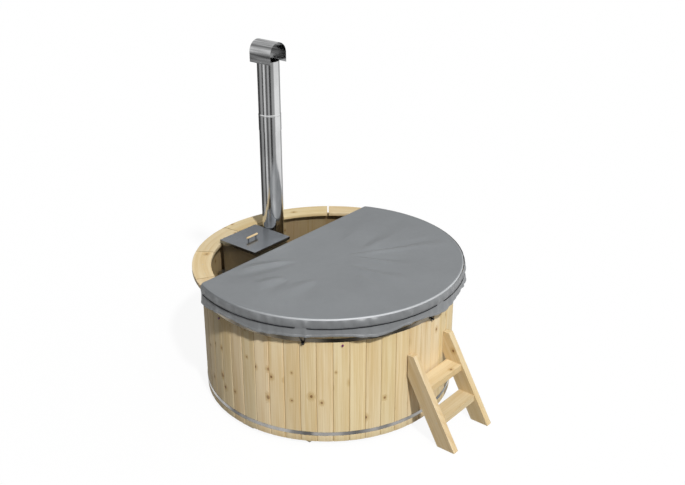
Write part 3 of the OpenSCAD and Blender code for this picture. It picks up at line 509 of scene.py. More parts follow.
X, Y, Z = (1, 0, 0), (0, 1, 0), (0, 0, 1)
SLOPE = math.radians(STRINGER_SLOPE)
UP_SLOPE = (0, math.cos(SLOPE), math.sin(SLOPE))
OFF_SLOPE = (0, -math.sin(SLOPE), math.cos(SLOPE))
WOODWORK = {
    "drain_stave": ("Wall spruce", ring_layout(STAVE_COUNT, STAVE_FIRST, "up")),
    "rim_boards": ("Rim spruce", ring_layout(RIM_COUNT, RIM_FIRST, "round")),
    "bearers": ("Bearer wood", straight_layout(X, Y, Z, Y, BEARER_STEP, BEARER_STEP / 2)),
    "floor_boards": ("Floor spruce", straight_layout(Y, X, Z, X, FLOOR_BOARD)),
    "bench_boards": (
        "Bench board spruce", ring_layout(BENCH_COUNT, BENCH_FIRST, "chord", BENCH_BOARD_STEP)),
    "bench_rails": ("Bench rail spruce", ring_layout(BENCH_COUNT, BENCH_JOINT_FIRST, "out")),
    "bench_legs": ("Bench leg spruce", ring_layout(BENCH_COUNT, BENCH_JOINT_FIRST, "up")),
    "guard_posts": ("Guard post spruce", straight_layout(Z, X, Y)),
    "guard_rails": ("Guard rail spruce", straight_layout(X, Y, Z, Z, GUARD_RAIL_STEP)),
    "guard_slats": ("Guard slat spruce", straight_layout(Z, X, Y, X, SLAT_STEP, SLAT_FIRST)),
    "hatch_grip": ("Grip wood", straight_layout(X, Y, Z)),
    "stringer_left": ("Stringer spruce", straight_layout(UP_SLOPE, OFF_SLOPE, X)),
    "stringer_right": ("Stringer spruce", straight_layout(UP_SLOPE, OFF_SLOPE, X)),
    "treads": ("Tread spruce", straight_layout(X, Y, Z, Z, TREAD_STEP)),
}


# The grip is round already, and a bevel round the drain's hole would streak its stave
UNROUNDED = ("hatch_grip", "drain_stave")


def spruce(name, group, layout, darkening):
    """Spruce whose grain follows one layout of boards, with darkening where given: water, dark joints, and
    painted shade on the wall's inner face.
    """
    material, tree, shader = new_material(name)
    across, along, depth, board = layout(tree)
    grown = tree.node("ShaderNodeGroup", node_tree=group)
    for label, value in zip(("Across", "Along", "Depth", "Board"), (across, along, depth, board)):
        tree.feed(grown.inputs[label], value)
    colour = grown.outputs["Colour"]
    if darkening:
        colour = darkening(tree, colour, across, along, depth)
    tree.feed(shader.inputs["Base Color"], colour)
    tree.feed(shader.inputs["Roughness"], grown.outputs["Roughness"])
    shader.inputs["Specular IOR Level"].default_value = 0.18
    bump(tree, shader, grown.outputs["Height"], 0.0004, 0.6)
    return material


# Metals, plastics and cloth


def metal(name, colour, rough, grain=(1, 1, 1), scale=60.0, spread=0.08, dents=0.0, bands=None):
    """Metal with brushed streaks along one direction, faint dents and, where given, darker bands.

    Bands are the stretch of their pattern along each axis, and the share of colour left in the darkest.
    """
    material, tree, shader = new_material(name)
    spot = tree.vector("MULTIPLY", place(tree), grain)
    streak = tree.noise(spot, scale, 4.0, 0.6)
    cloud = tree.noise(place(tree), 5.0, 3.0)
    uneven = tree.math("MULTIPLY", tree.math("ADD", streak, cloud), spread)
    tree.feed(shader.inputs["Roughness"], tree.math("ADD", uneven, rough - spread))
    base = tree.mix(tree.rise(cloud, 0.3, 0.7), toned(colour, 0.82), rgba(colour))
    # Darker bands along the metal; on the hoops these are painted reflections.
    if bands:
        stretch, left = bands
        band = tree.noise(tree.vector("MULTIPLY", place(tree), stretch), 1.0, 2.0, 0.6)
        kept = tree.mix(tree.rise(band, 0.36, 0.62), grey(left), WHITE)
        base = tree.tint(1.0, base, kept)
    tree.feed(shader.inputs["Base Color"], base)
    shader.inputs["Metallic"].default_value = 1.0
    height = tree.math("MULTIPLY", streak, 0.02)
    if dents:
        height = tree.math("MULTIPLY_ADD", tree.noise(place(tree), 7.0, 1.0), dents, height)
    bump(tree, shader, height, 0.001, 0.5)
    return material


def coated(name, colour, rough):
    """Paint or plastic with a fine orange peel and worn patches."""
    material, tree, shader = new_material(name)
    spread = 0.1
    peel = tree.noise(place(tree), 300.0, 2.0)
    wear_and_highlight = tree.noise(place(tree), 30.0, 3.0)
    base = tree.mix(tree.rise(wear_and_highlight, 0.55, 0.8), rgba(colour), toned(colour, 1.3, 0.01))
    tree.feed(shader.inputs["Base Color"], base)
    tree.feed(shader.inputs["Roughness"], tree.math("MULTIPLY_ADD", wear_and_highlight, spread, rough - spread / 2))
    bump(tree, shader, peel, 0.0002, 0.4)
    return material


def cover_cloth(name, colour, wear_and_highlight=None):
    """Coated cloth with a fine plain weave under its coat, and a painted highlight round the pad's edge."""
    material, tree, shader = new_material(name)
    uv = tree.node("ShaderNodeUVMap", uv_map="cloth").outputs[0]
    u, v, _ = tree.separate(uv)
    thread_step = 0.0011
    warp = tree.math("SINE", tree.math("MULTIPLY", u, 2 * math.pi / thread_step))
    weft = tree.math("SINE", tree.math("MULTIPLY", v, 2 * math.pi / thread_step))
    weave = tree.math("MULTIPLY", warp, weft)
    crumple = tree.noise(place(tree), 26.0, 4.0, 0.55)
    cloud = tree.noise(place(tree), 3.5, 3.0, 0.6)
    base = tree.mix(tree.rise(cloud, 0.3, 0.7), toned(colour, 0.96), toned(colour, 1.03))
    # Painted highlight: the pad's round edge is painted pale, most on the side facing the lights.
    if wear_and_highlight:
        x, y, _ = tree.separate(place(tree))
        radius = tree.vector("LENGTH", tree.combine(x, y))
        painted_highlight = tree.rise(radius, COVER_OUT - 0.016, COVER_OUT - 0.007)
        side = tree.vector("DOT_PRODUCT", place(tree), (math.cos(HIGHLIGHT_TURN), math.sin(HIGHLIGHT_TURN), 0))
        toward_lights = tree.rise(tree.math("DIVIDE", side, radius), 0.1, 0.85, 0.12, 1.0)
        painted_highlight = tree.math("MULTIPLY", painted_highlight, toward_lights)
        patchy = tree.math("MULTIPLY_ADD", cloud, 0.5, 0.5)
        base = tree.mix(tree.math("MULTIPLY", painted_highlight, patchy), base, rgba(wear_and_highlight))
    tree.feed(shader.inputs["Base Color"], base)
    tree.feed(shader.inputs["Roughness"], tree.math("MULTIPLY_ADD", crumple, 0.12, 0.36))
    shader.inputs["Specular IOR Level"].default_value = 0.6
    shader.inputs["Sheen Weight"].default_value = 0.06
    height = tree.math("MULTIPLY_ADD", weave, 0.08, tree.math("MULTIPLY", crumple, 0.6))
    bump(tree, shader, height, 0.0009, 0.4)
    return material


def thread_material(name, colour):
    """Twisted thread or braided cord, read from each piece's own lengthways attribute."""
    material, tree, shader = new_material(name)
    lay = tree.node("ShaderNodeAttribute", attribute_name="lay").outputs["Vector"]
    along, round_share, _ = tree.separate(lay)
    lay_length = 0.0032
    left, right = (
        tree.math("SINE", tree.math("MULTIPLY_ADD", round_share, way * 4 * math.pi,
                                    tree.math("MULTIPLY", along, 2 * math.pi / lay_length)))
        for way in (1, -1))
    braid = tree.math("MAXIMUM", left, right)
    base = tree.mix(tree.rise(braid, 0.2, 1.0), rgba(colour), toned(colour, 1.8, 0.004))
    tree.feed(shader.inputs["Base Color"], base)
    shader.inputs["Roughness"].default_value = 0.7
    shader.inputs["Specular IOR Level"].default_value = 0.12
    bump(tree, shader, braid, 0.0004, 0.6)
    return material


# Making pieces


def new_object(name, mesh):
    """A new object in the scene, at the origin."""
    made = bpy.data.objects.new(name, mesh)
    bpy.context.scene.collection.objects.link(made)
    return made


def mesh_from(name, points, faces=(), edges=()):
    """A mesh of points with faces or edges."""
    mesh = bpy.data.meshes.new(name)
    mesh.from_pydata([tuple(p) for p in points], list(edges), list(faces))
    mesh.update()
    return mesh


def net_faces(rows, columns, closed=False, upward=False):
    """Four-sided faces between rows of points. Closed rows join their ends."""
    faces = []
    for row in range(rows - 1):
        for i in range(columns if closed else columns - 1):
            a, b = row * columns + i, row * columns + (i + 1) % columns
            faces.append((a, b, b + columns, a + columns) if upward else (a, a + columns, b + columns, b))
    return faces


def facing_out(mesh, work=None):
    """Turns a closed mesh's faces outwards, once any other work on it is done."""
    built = bmesh.new()
    built.from_mesh(mesh)
    if work:
        work(built)
    bmesh.ops.recalc_face_normals(built, faces=built.faces)
    built.to_mesh(mesh)
    built.free()


def shade(mesh, degrees=35):
    """Smooth shading with sharp edges past an angle."""
    mesh.polygons.foreach_set("use_smooth", [True] * len(mesh.polygons))
    mesh.set_sharp_from_angle(angle=math.radians(degrees))


def applied(made):
    """Turns an object with modifiers into a plain mesh of the same name."""
    bpy.context.view_layer.update()
    graph = bpy.context.evaluated_depsgraph_get()
    mesh = bpy.data.meshes.new_from_object(made.evaluated_get(graph))
    old = made.data
    made.modifiers.clear()
    made.data = mesh
    mesh.name = made.name
    bpy.data.meshes.remove(old)
    return made


def grown(name, host, group, values):
    """Runs a geometry tree on a host mesh and returns the plain piece that it makes."""
    made = new_object(name, host)
    modifier = made.modifiers.new(name, "NODES")
    modifier.node_group = group
    sockets = {item.name: item.identifier for item in group.interface.items_tree
               if item.in_out == "INPUT"}
    for label, value in values.items():
        modifier[sockets[label]] = value
    return applied(made)


def geometry_tree(name, inputs):
    """A geometry tree with named inputs, and its group input and output sockets."""
    group = bpy.data.node_groups.new(name, "GeometryNodeTree")
    group.interface.new_socket(name="Geometry", in_out="INPUT", socket_type="NodeSocketGeometry")
    for label, kind in inputs:
        group.interface.new_socket(name=label, in_out="INPUT", socket_type=kind)
    group.interface.new_socket(name="Geometry", in_out="OUTPUT", socket_type="NodeSocketGeometry")
    tree = Tree(group)
    given = tree.node("NodeGroupInput").outputs
    return tree, given


def stored(tree, geometry, name, value, kind="FLOAT"):
    """Keeps a value on a geometry's points under a name."""
    made = tree.node("GeometryNodeStoreNamedAttribute", {
        "Geometry": geometry, "Name": name, "Value": value}, data_type=kind, domain="POINT")
    return made.outputs[0]


def named(tree, name, kind="FLOAT"):
    """Reads a value that the points keep under a name."""
    return tree.node("GeometryNodeInputNamedAttribute", {"Name": name}, data_type=kind).outputs[0]


def finish_tree(tree, instances, material):
    """Ends a geometry tree: the instances are made real and take their material."""
    real = tree.node("GeometryNodeRealizeInstances", {0: instances})
    dressed = tree.node("GeometryNodeSetMaterial", {"Geometry": real.outputs[0], "Material": material})
    tree.node("NodeGroupOutput", {"Geometry": dressed.outputs[0]})
    return tree.tree


FLOAT, INT = "NodeSocketFloat", "NodeSocketInt"
OBJECT, MATERIAL = "NodeSocketObject", "NodeSocketMaterial"


def ring_of_boards_tree():
    """Boards stood round the axis, each a little in or out of line."""
    tree, given = geometry_tree("Boards round the tub", [
        ("Board", OBJECT), ("Count", INT), ("First", FLOAT), ("Pitch", FLOAT), ("Unevenness", FLOAT),
        ("Seed", INT), ("Material", MATERIAL)])
    number = tree.node("GeometryNodeInputIndex").outputs[0]
    turn = tree.math("MULTIPLY_ADD", tree.math("ADD", number, 0.5), given["Pitch"], given["First"])
    draw = tree.node("FunctionNodeRandomValue", {"Seed": given["Seed"]}, data_type="FLOAT")
    out = tree.math("MULTIPLY", tree.math("SUBTRACT", draw.outputs[1], 1.0), given["Unevenness"])
    spot = tree.combine(tree.math("MULTIPLY", out, tree.math("COSINE", turn)),
                        tree.math("MULTIPLY", out, tree.math("SINE", turn)))
    points = tree.node("GeometryNodePoints", {"Count": given["Count"], "Position": spot})
    board = tree.node("GeometryNodeObjectInfo", {"Object": given["Board"]})
    stood = tree.node("GeometryNodeInstanceOnPoints", {
        "Points": points.outputs[0], "Instance": board.outputs["Geometry"],
        "Rotation": tree.combine(z=turn)})
    return finish_tree(tree, stood.outputs[0], given["Material"])


def screws_tree():
    """One screw at each point of the host, along the point's axis and turned at random."""
    tree, given = geometry_tree("Screws", [
        ("Screw", OBJECT), ("Seed", INT), ("Material", MATERIAL)])
    points = tree.node("GeometryNodeMeshToPoints", {"Mesh": given["Geometry"]})
    axis = named(tree, "axis", "FLOAT_VECTOR")
    spin = tree.node("FunctionNodeRandomValue", {"Max": 2 * math.pi, "Seed": given["Seed"]},
                     data_type="FLOAT")
    turned = tree.node("FunctionNodeAxisAngleToRotation", {"Axis": (0, 0, 1), "Angle": spin.outputs[1]})
    aimed = tree.node("FunctionNodeAlignRotationToVector", {
        "Rotation": turned.outputs[0], "Vector": axis}, axis="Z")
    screw = tree.node("GeometryNodeObjectInfo", {"Object": given["Screw"]})
    driven = tree.node("GeometryNodeInstanceOnPoints", {
        "Points": points.outputs[0], "Instance": screw.outputs["Geometry"],
        "Rotation": aimed.outputs[0]})
    return finish_tree(tree, driven.outputs[0], given["Material"])


def stitches_tree():
    """Stitches at even steps along the host's line."""
    tree, given = geometry_tree("Stitches", [
        ("Step", FLOAT), ("Length", FLOAT), ("Thickness", FLOAT), ("Material", MATERIAL)])
    line = tree.node("GeometryNodeMeshToCurve", {"Mesh": given["Geometry"]})
    points = tree.node("GeometryNodeCurveToPoints", {"Curve": line.outputs[0], "Length": given["Step"]},
                       mode="LENGTH")
    stitch = tree.node("GeometryNodeMeshUVSphere", {"Segments": 6, "Rings": 4, "Radius": 0.5})
    aimed = tree.node("FunctionNodeAlignRotationToVector", {
        "Vector": points.outputs["Tangent"]}, axis="Z")
    sewn = tree.node("GeometryNodeInstanceOnPoints", {
        "Points": points.outputs[0], "Instance": stitch.outputs[0], "Rotation": aimed.outputs[0],
        "Scale": tree.combine(given["Thickness"], given["Thickness"], given["Length"])})
    return finish_tree(tree, sewn.outputs[0], given["Material"])


def tube_tree():
    """A tube along the host's line, which keeps how far along and round it each point lies."""
    tree, given = geometry_tree("Tube", [
        ("Radius", FLOAT), ("Step", FLOAT), ("Sides", INT), ("Material", MATERIAL)])
    line = tree.node("GeometryNodeMeshToCurve", {"Mesh": given["Geometry"]})
    soft = tree.node("GeometryNodeCurveSplineType", {
        "Curve": line.outputs[0]}, spline_type="CATMULL_ROM")
    even = tree.node("GeometryNodeResampleCurve", {"Curve": soft.outputs[0], "Length": given["Step"]},
                     mode="LENGTH")
    length = tree.node("GeometryNodeSplineParameter").outputs["Length"]
    kept = stored(tree, even.outputs[0], "along", length)
    section = tree.node("GeometryNodeCurvePrimitiveCircle", {
        "Resolution": given["Sides"], "Radius": given["Radius"]}, mode="RADIUS")
    share = tree.node("GeometryNodeSplineParameter").outputs["Factor"]
    marked = stored(tree, section.outputs[0], "round", share)
    tube = tree.node("GeometryNodeCurveToMesh", {
        "Curve": kept, "Profile Curve": marked, "Fill Caps": True})
    lay = tree.combine(named(tree, "along"), named(tree, "round"))
    laid = stored(tree, tube.outputs[0], "lay", lay, "FLOAT_VECTOR")
    return finish_tree(tree, laid, given["Material"])


def line_host(name, points, closed=False):
    """A host mesh for a line through points."""
    edges = [(i, i + 1) for i in range(len(points) - 1)]
    if closed:
        edges.append((len(points) - 1, 0))
    return mesh_from(name, points, edges=edges)


def dress(node, material):
    """Gives a CAD node its finish."""
    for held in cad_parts[node].material_slots:
        held.material = material


def soften(node, width):
    """Rounds a CAD node's edges. Its mesh stays as it is."""
    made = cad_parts[node]
    weld = made.modifiers.new("Weld", "WELD")
    weld.merge_threshold = 0.00001
    bevel = made.modifiers.new("Rounded edges", "BEVEL")
    bevel.width = width
    bevel.segments = 2
    bevel.limit_method = "ANGLE"
    bevel.angle_limit = math.radians(30)
    bevel.use_clamp_overlap = True
    bevel.harden_normals = True


# The wall


def stave_outline(groove):
    """Plan of one stave, with its inner face cut back by the depth of the floor's groove."""
    half = math.radians(STAVE_PITCH / 2)
    thick = WALL_OUT - WALL_IN
    middle = WALL_IN + thick / 2
    play, tongue, depth = 0.00005, thick * 0.15, 0.006
    spare_width, spare_depth = 0.0002, 0.0004

    def at(radius, out):
        return (radius * math.cos(half) - out * math.sin(half),
                radius * math.sin(half) + out * math.cos(half))

    def side(play_to, deep, wide):
        return [at(WALL_IN + groove, play_to), at(middle - wide, play_to), at(middle - wide, deep),
                at(middle + wide, deep), at(middle + wide, play_to),
                at(WALL_OUT - STAVE_CHAMFER, play_to)]

    reach_angle = half - STAVE_CHAMFER / WALL_OUT
    face = [(WALL_OUT * math.cos(turn), WALL_OUT * math.sin(turn))
            for turn in (reach_angle * share for share in (1, 0.5, 0, -0.5, -1))]
    left = side(-play, depth, tongue)
    right = [(x, -y) for x, y in side(-play, -play - depth - spare_depth, tongue + spare_width)]
    inner_r = WALL_IN + groove
    inner = [(inner_r * math.cos(turn), inner_r * math.sin(turn))
             for turn in (-0.5 * half, 0, 0.5 * half)]
    return left + face + right[::-1] + inner


def stave_mesh():
    """One stave with tongue, groove, chamfers and the groove for the floor."""
    groove_top = FLOOR_HIGH + FLOOR_PLAY
    levels = [(WALL_FOOT, 0), (FLOOR_LOW, 0), (FLOOR_LOW, FLOOR_GROOVE), (groove_top, FLOOR_GROOVE),
              (groove_top, 0), (WALL_TOP, 0)]
    rows = [[Vector((x, y, z)) for x, y in stave_outline(groove)] for z, groove in levels]
    count = len(rows[0])
    points = [p for row in rows for p in row]
    faces = [tuple(reversed(range(count))), *net_faces(len(rows), count, closed=True, upward=True),
             tuple(range((len(rows) - 1) * count, len(rows) * count))]
    mesh = mesh_from("stave", points, faces)
    outer_edges = WALL_OUT - STAVE_CHAMFER - 0.002

    def round_edges(built):
        rounded = [e for e in built.edges
                   if all(math.hypot(v.co.x, v.co.y) > outer_edges for v in e.verts)
                   and e.calc_face_angle(0) > math.radians(20)]
        bmesh.ops.bevel(built, geom=rounded, offset=0.0008, segments=2, affect="EDGES", profile=0.5)

    facing_out(mesh, round_edges)
    shade(mesh, 30)
    return mesh


def screw_mesh(head_r, head_h, shank_r, length):
    """Countersunk screw with a six point recess, its head's face at the origin."""
    def ring(radii, z):
        return [Vector((r * math.cos(2 * math.pi * i / len(radii)),
                        r * math.sin(2 * math.pi * i / len(radii)), z)) for i, r in enumerate(radii)]
    sides, lip = 12, 0.0002
    star = [head_r * (0.56 if i % 2 else 0.40) for i in range(sides)]
    rows = [ring([0.7 * r for r in star], -head_h * 0.75), ring(star, -lip),
            ring([head_r * 0.95] * sides, 0.0), ring([head_r] * sides, -lip),
            ring([shank_r] * sides, -head_h), ring([shank_r] * sides, -length)]
    points = [p for row in rows for p in row]
    faces = [tuple(range(sides)), *net_faces(len(rows), sides, closed=True, upward=True),
             tuple(reversed(range(len(points) - sides, len(points))))]
    mesh = mesh_from("screw", points, faces)
    facing_out(mesh)
    shade(mesh)
    return mesh


# The cover


def cover_outline(step):
    """Points round the cover seen from above, at even steps, with the corners rounded."""
    arc_span = math.radians(180 + 2 * CORNER_ANGLE)
    corner_span = math.radians(90 - CORNER_ANGLE)
    points = []
    count = round(COVER_OUT * arc_span / step)
    for i in range(count):
        points.append(polar(COVER_OUT, 180 - CORNER_ANGLE + math.degrees(arc_span) * i / count))
    count = max(4, round(COVER_CORNER * corner_span / step))
    for i in range(count):
        points.append(Vector((CORNER_X, CORNER_Y, 0))
                      + polar(COVER_CORNER, CORNER_ANGLE + math.degrees(corner_span) * i / count))
    straight = round(2 * CORNER_X / step)
    for i in range(straight):
        points.append(Vector((CORNER_X * (1 - 2 * i / straight), COVER_EDGE, 0)))
    for i in range(count):
        points.append(Vector((-CORNER_X, CORNER_Y, 0))
                      + polar(COVER_CORNER, 90 + math.degrees(corner_span) * i / count))
    return points


def inset(point, by):
    """Moves a point of the outline inwards, square to the edge."""
    if point.y > CORNER_Y and abs(point.x) <= CORNER_X:
        return point - Vector((0, by, 0))
    if point.y > CORNER_Y:
        centre = Vector((math.copysign(CORNER_X, point.x), CORNER_Y, 0))
        return point - by * (point - centre).normalized()
    return point - by * point.normalized()


def edge_gap(x, y):
    """How far a point lies inside the cover's outline."""
    if y > CORNER_Y and abs(x) > CORNER_X:
        return COVER_CORNER - math.hypot(abs(x) - CORNER_X, y - CORNER_Y)
    return min(COVER_EDGE - y, COVER_OUT - math.hypot(x, y))


def filled(border, step, spare):
    """Triangles over the area inside a closed row of points, with a net of points inside it."""
    inner = []
    row_step = step * math.sqrt(3) / 2
    rows = int(2 * COVER_OUT / row_step)
    for j in range(rows):
        y = -COVER_OUT + j * row_step
        for i in range(int(2 * COVER_OUT / step)):
            x = -COVER_OUT + (i + 0.5 * (j % 2)) * step
            if edge_gap(x, y) > spare:
                inner.append(Vector((x, y)))
    points = [p.to_2d() for p in border] + inner
    edges = [(i, (i + 1) % len(border)) for i in range(len(border))]
    flat, _, faces, *_ = geometry.delaunay_2d_cdt(points, edges, [], 1, 0.00001)
    return flat, faces


def pad_mesh(cover):
    """Closed D shaped pad: a rounded edge, a fine net on top and a coarse one below."""
    step = cover.top_step
    outline = cover_outline(step)
    count = len(outline)
    top = PAD_HIGH.z - 0.75 * cover.swell
    low = PAD_UNDER
    bend = cover.edge_round
    side_in, bend_steps = 0.0008, 5
    rows = []
    for k in range(bend_steps + 1):
        turn = math.radians(90 * k / bend_steps)
        rows.append((bend * (1 - math.sin(turn)) + side_in, top - bend * (1 - math.cos(turn))))
    rows += [(side_in, low + 0.008), (0.0016, low + 0.004), (0.004, low)]
    points = []
    for by, z in rows:
        points += [inset(p, by) + Vector((0, 0, z)) for p in outline]
    faces = net_faces(len(rows), count, closed=True)
    last = (len(rows) - 1) * count
    for start, z, net, upward in ((0, top, step, True), (last, low, 2.5 * step, False)):
        border = points[start:start + count]
        spare = rows[0 if upward else -1][0] + 0.6 * net
        flat, triangles = filled(border, net, spare)
        index = {}
        for i, p in enumerate(flat):
            if i < count:
                index[i] = start + i
            else:
                index[i] = len(points)
                points.append(Vector((p.x, p.y, z)))
        for face in triangles:
            ordered = face if upward else reversed(face)
            faces.append(tuple(index[i] for i in ordered))
    mesh = mesh_from("cover_pad_cloth", points, faces)
    facing_out(mesh)
    return mesh


def swell(made, cover):
    """Puffs the pad up with a short cloth simulation, and holds every point near where it was."""
    start = [v.co.copy() for v in made.data.vertices]
    cloth = made.modifiers.new("Cloth", "CLOTH")
    settings = cloth.settings
    settings.quality = 5
    settings.use_pressure = True
    settings.uniform_pressure_force = cover.pressure
    settings.effector_weights.gravity = 0
    settings.tension_stiffness = 15
    settings.bending_stiffness = 0.5
    scene = bpy.context.scene
    frames = 20
    for number in range(1, frames + 1):
        scene.frame_set(number)
    graph = bpy.context.evaluated_depsgraph_get()
    moved = [v.co.copy() for v in made.evaluated_get(graph).data.vertices]
    made.modifiers.clear()
    scene.frame_set(1)
    for vertex, before, after in zip(made.data.vertices, start, moved):
        way = after - before
        held = cover.swell * math.tanh(way.length / cover.swell)
        if way.length > 0:
            vertex.co = before + way * (held / way.length)
        vertex.co.z = max(vertex.co.z, PAD_UNDER)


# Each fold of the top starts near the middle and runs out. Ends, height and half width in metres.
TOP_FOLDS = (
    ((0.13, -0.165), (0.66, -0.495), 0.0150, 0.044),
    ((0.09, -0.215), (0.20, -0.515), 0.0108, 0.042),
    ((-0.05, -0.26), (0.00, -0.63), 0.0112, 0.048),
    ((-0.13, -0.37), (-0.25, -0.62), 0.0056, 0.056),
    ((0.23, -0.135), (0.45, -0.145), 0.0052, 0.050),
    ((0.28, -0.145), (0.72, -0.135), 0.0044, 0.060),
    ((-0.24, 0.115), (-0.58, 0.30), 0.0112, 0.046),
    ((-0.46, -0.02), (-0.66, 0.035), 0.0112, 0.050),
    ((-0.37, -0.19), (-0.63, -0.185), 0.0080, 0.056),
    ((0.20, 0.05), (0.62, 0.15), 0.0035, 0.062),
)


def fold_height(x, y):
    """Height of the top's folds at a point: each is a ridge with a shallow valley behind it."""
    total = 0.0
    before, after = -0.15, 1.15
    for (x0, y0), (x1, y1), height, width in TOP_FOLDS:
        length = math.hypot(x1 - x0, y1 - y0)
        ux, uy = (x1 - x0) / length, (y1 - y0) / length
        share = ((x - x0) * ux + (y - y0) * uy) / length
        if not before < share < after:
            continue
        bow = 0.03 * math.sin(math.pi * share) * length
        off = (x - x0) * -uy + (y - y0) * ux + bow
        spread = width * (0.45 + 0.75 * share)
        fade = smooth(before, 0.25, share) * (1 - smooth(0.55, after, share))
        ridge = math.exp(-(off / spread) ** 2)
        valley = 0.6 * math.exp(-((off - 1.5 * spread) / (1.2 * spread)) ** 2)
        total += height * fade * (ridge - valley)
    return total


def lay_folds(made):
    """Gives the pad's top its sag, folds and small waves, and leaves its side and its underside."""
    middle = Vector((-0.146, -0.097))
    for vertex in made.data.vertices:
        x, y, z = vertex.co
        share = smooth(PAD_LOW.z + 0.013, PAD_HIGH.z - 0.006, z)
        if share == 0:
            continue
        inside = smooth(0.0, 0.09, edge_gap(x, y))
        sag = 0.005 * smooth(0.75, 0.0, (Vector((x, y)) - middle).length)
        wave = 0.0016 * noise.noise(Vector((x * 5.5, y * 5.5, 3.1)))
        fine = 0.0005 * noise.noise(Vector((x * 21, y * 21, 8.4)))
        vertex.co.z += share * inside * (fold_height(x, y) + wave + fine - sag)


def map_cloth(made):
    """Maps the cloth in metres: from above on the top, and round the edge on the side."""
    layer = made.data.uv_layers.new(name="cloth")
    for polygon in made.data.polygons:
        upright = abs(polygon.normal.z) < 0.6
        for corner in polygon.loop_indices:
            co = made.data.vertices[made.data.loops[corner].vertex_index].co
            if upright:
                turn = math.atan2(co.y, co.x)
                layer.data[corner].uv = (turn * COVER_OUT, co.z)
            else:
                layer.data[corner].uv = (co.x, co.y)


def hem_at(degrees):
    """Height of the hem at a direction: two waves round the tub."""
    deep, shallow = 0.010, 0.006
    swing = math.cos(math.radians(9 * (degrees + 163)))
    return HEM_Z - deep * swing + shallow * math.sin(math.radians(13 * degrees))


def wave(degrees, *parts):
    """Sum of waves round the tub, each given as size, number round the tub and start."""
    return sum(size * math.sin(math.radians(number * degrees + start)) for size, number, start in parts)


SKIRT_TOP = PAD_LOW.z + 0.0125
# Rows of the skirt: shares of the way from its top to the cord, then from the cord to the hem's fold
UPPER_SHARES = [i / 11 for i in range(12)]
LOWER_SHARES = [i / 13 for i in range(1, 14)]
# The turned-up hem: its height, how far below the fold its rows lie, and how far it stands out
HEM_FOLD = 0.014
HEM_DROPS = (0.0008, 0.007, HEM_FOLD)
HEM_OUT = 0.0008
SEAM_ROW = 1
HEM_ROW = len(UPPER_SHARES) + len(LOWER_SHARES) + 1
SKIRT_ROWS = len(UPPER_SHARES) + len(LOWER_SHARES) + len(HEM_DROPS)
SKIRT_STEPS = 720
# How far the skirt's top lies inside the pad's edge, and its least gap to the rim
SKIRT_IN = 0.0002
RIM_GAP = 0.0004


def skirt_radius(degrees, above, below):
    """Radius of the skirt's outer face.

    above is 1 at the skirt's top and 0 at the cord, and below is 0 at the cord and 1 at the hem.
    """
    main = wave(degrees, (0.5, 11, 20), (0.3, 17, 70), (0.2, 23, 0))
    pleats = wave(degrees, (0.4, 53, 15), (0.35, 71, 130), (0.25, 97, 60))
    small = wave(degrees, (0.5, 131, 40), (0.5, 173, 200))
    radius = COVER_OUT - SKIRT_IN
    # The cloth never goes inside the rim: a pleat that would rests against it
    against_rim = RIM_OUT + CLOTH_T + RIM_GAP
    if above > 0:
        belly = math.sin(math.pi * above) ** 0.8
        folds = 0.0054 + 0.0050 * pleats + 0.0050 * main + 0.0006 * small
        return max(against_rim, radius + belly * folds)
    swing = below ** 1.3 * (0.0085 + 0.0075 * main)
    gathered = below ** 0.6 * (0.0044 * pleats + 0.0010 * small * (1 - 0.6 * below))
    return max(against_rim, radius + swing + gathered)


def skirt_point(degrees, row):
    """A point of the skirt's outer face, in one of its rows from the top down."""
    top, cord, hem = SKIRT_TOP, CORD_Z, hem_at(degrees)
    fold = hem + HEM_FOLD
    span = cord - hem
    if row < len(UPPER_SHARES):
        share = UPPER_SHARES[row]
        return polar(skirt_radius(degrees, 1 - share, 0), degrees, top + (cord - top) * share)
    row -= len(UPPER_SHARES)
    if row < len(LOWER_SHARES):
        z = cord + (fold - cord) * LOWER_SHARES[row]
        return polar(skirt_radius(degrees, 0, (cord - z) / span), degrees, z)
    row -= len(LOWER_SHARES)
    z = fold - HEM_DROPS[row]
    return polar(skirt_radius(degrees, 0, (cord - z) / span) + HEM_OUT, degrees, z)


def skirt_angle(i):
    """Direction of one of the skirt's columns."""
    return 180 - CORNER_ANGLE + i * (180 + 2 * CORNER_ANGLE) / SKIRT_STEPS


def skirt_mesh():
    """The skirt's outer face, mapped in metres of cloth."""
    columns = SKIRT_STEPS + 1
    points = [skirt_point(skirt_angle(i), row) for row in range(SKIRT_ROWS) for i in range(columns)]
    mesh = mesh_from("cover_skirt_cloth", points, net_faces(SKIRT_ROWS, columns))
    layer = mesh.uv_layers.new(name="cloth")
    for loop in mesh.loops:
        turn = math.radians(skirt_angle(loop.vertex_index % columns))
        layer.data[loop.index].uv = (turn * COVER_OUT, points[loop.vertex_index].z)
    return mesh


# The elastic cord


def near(degrees, radius, along, z):
    """A point near one direction: how far out, along and up."""
    turn = math.radians(degrees)
    return Vector((radius * math.cos(turn) - along * math.sin(turn),
                   radius * math.sin(turn) + along * math.cos(turn), z))


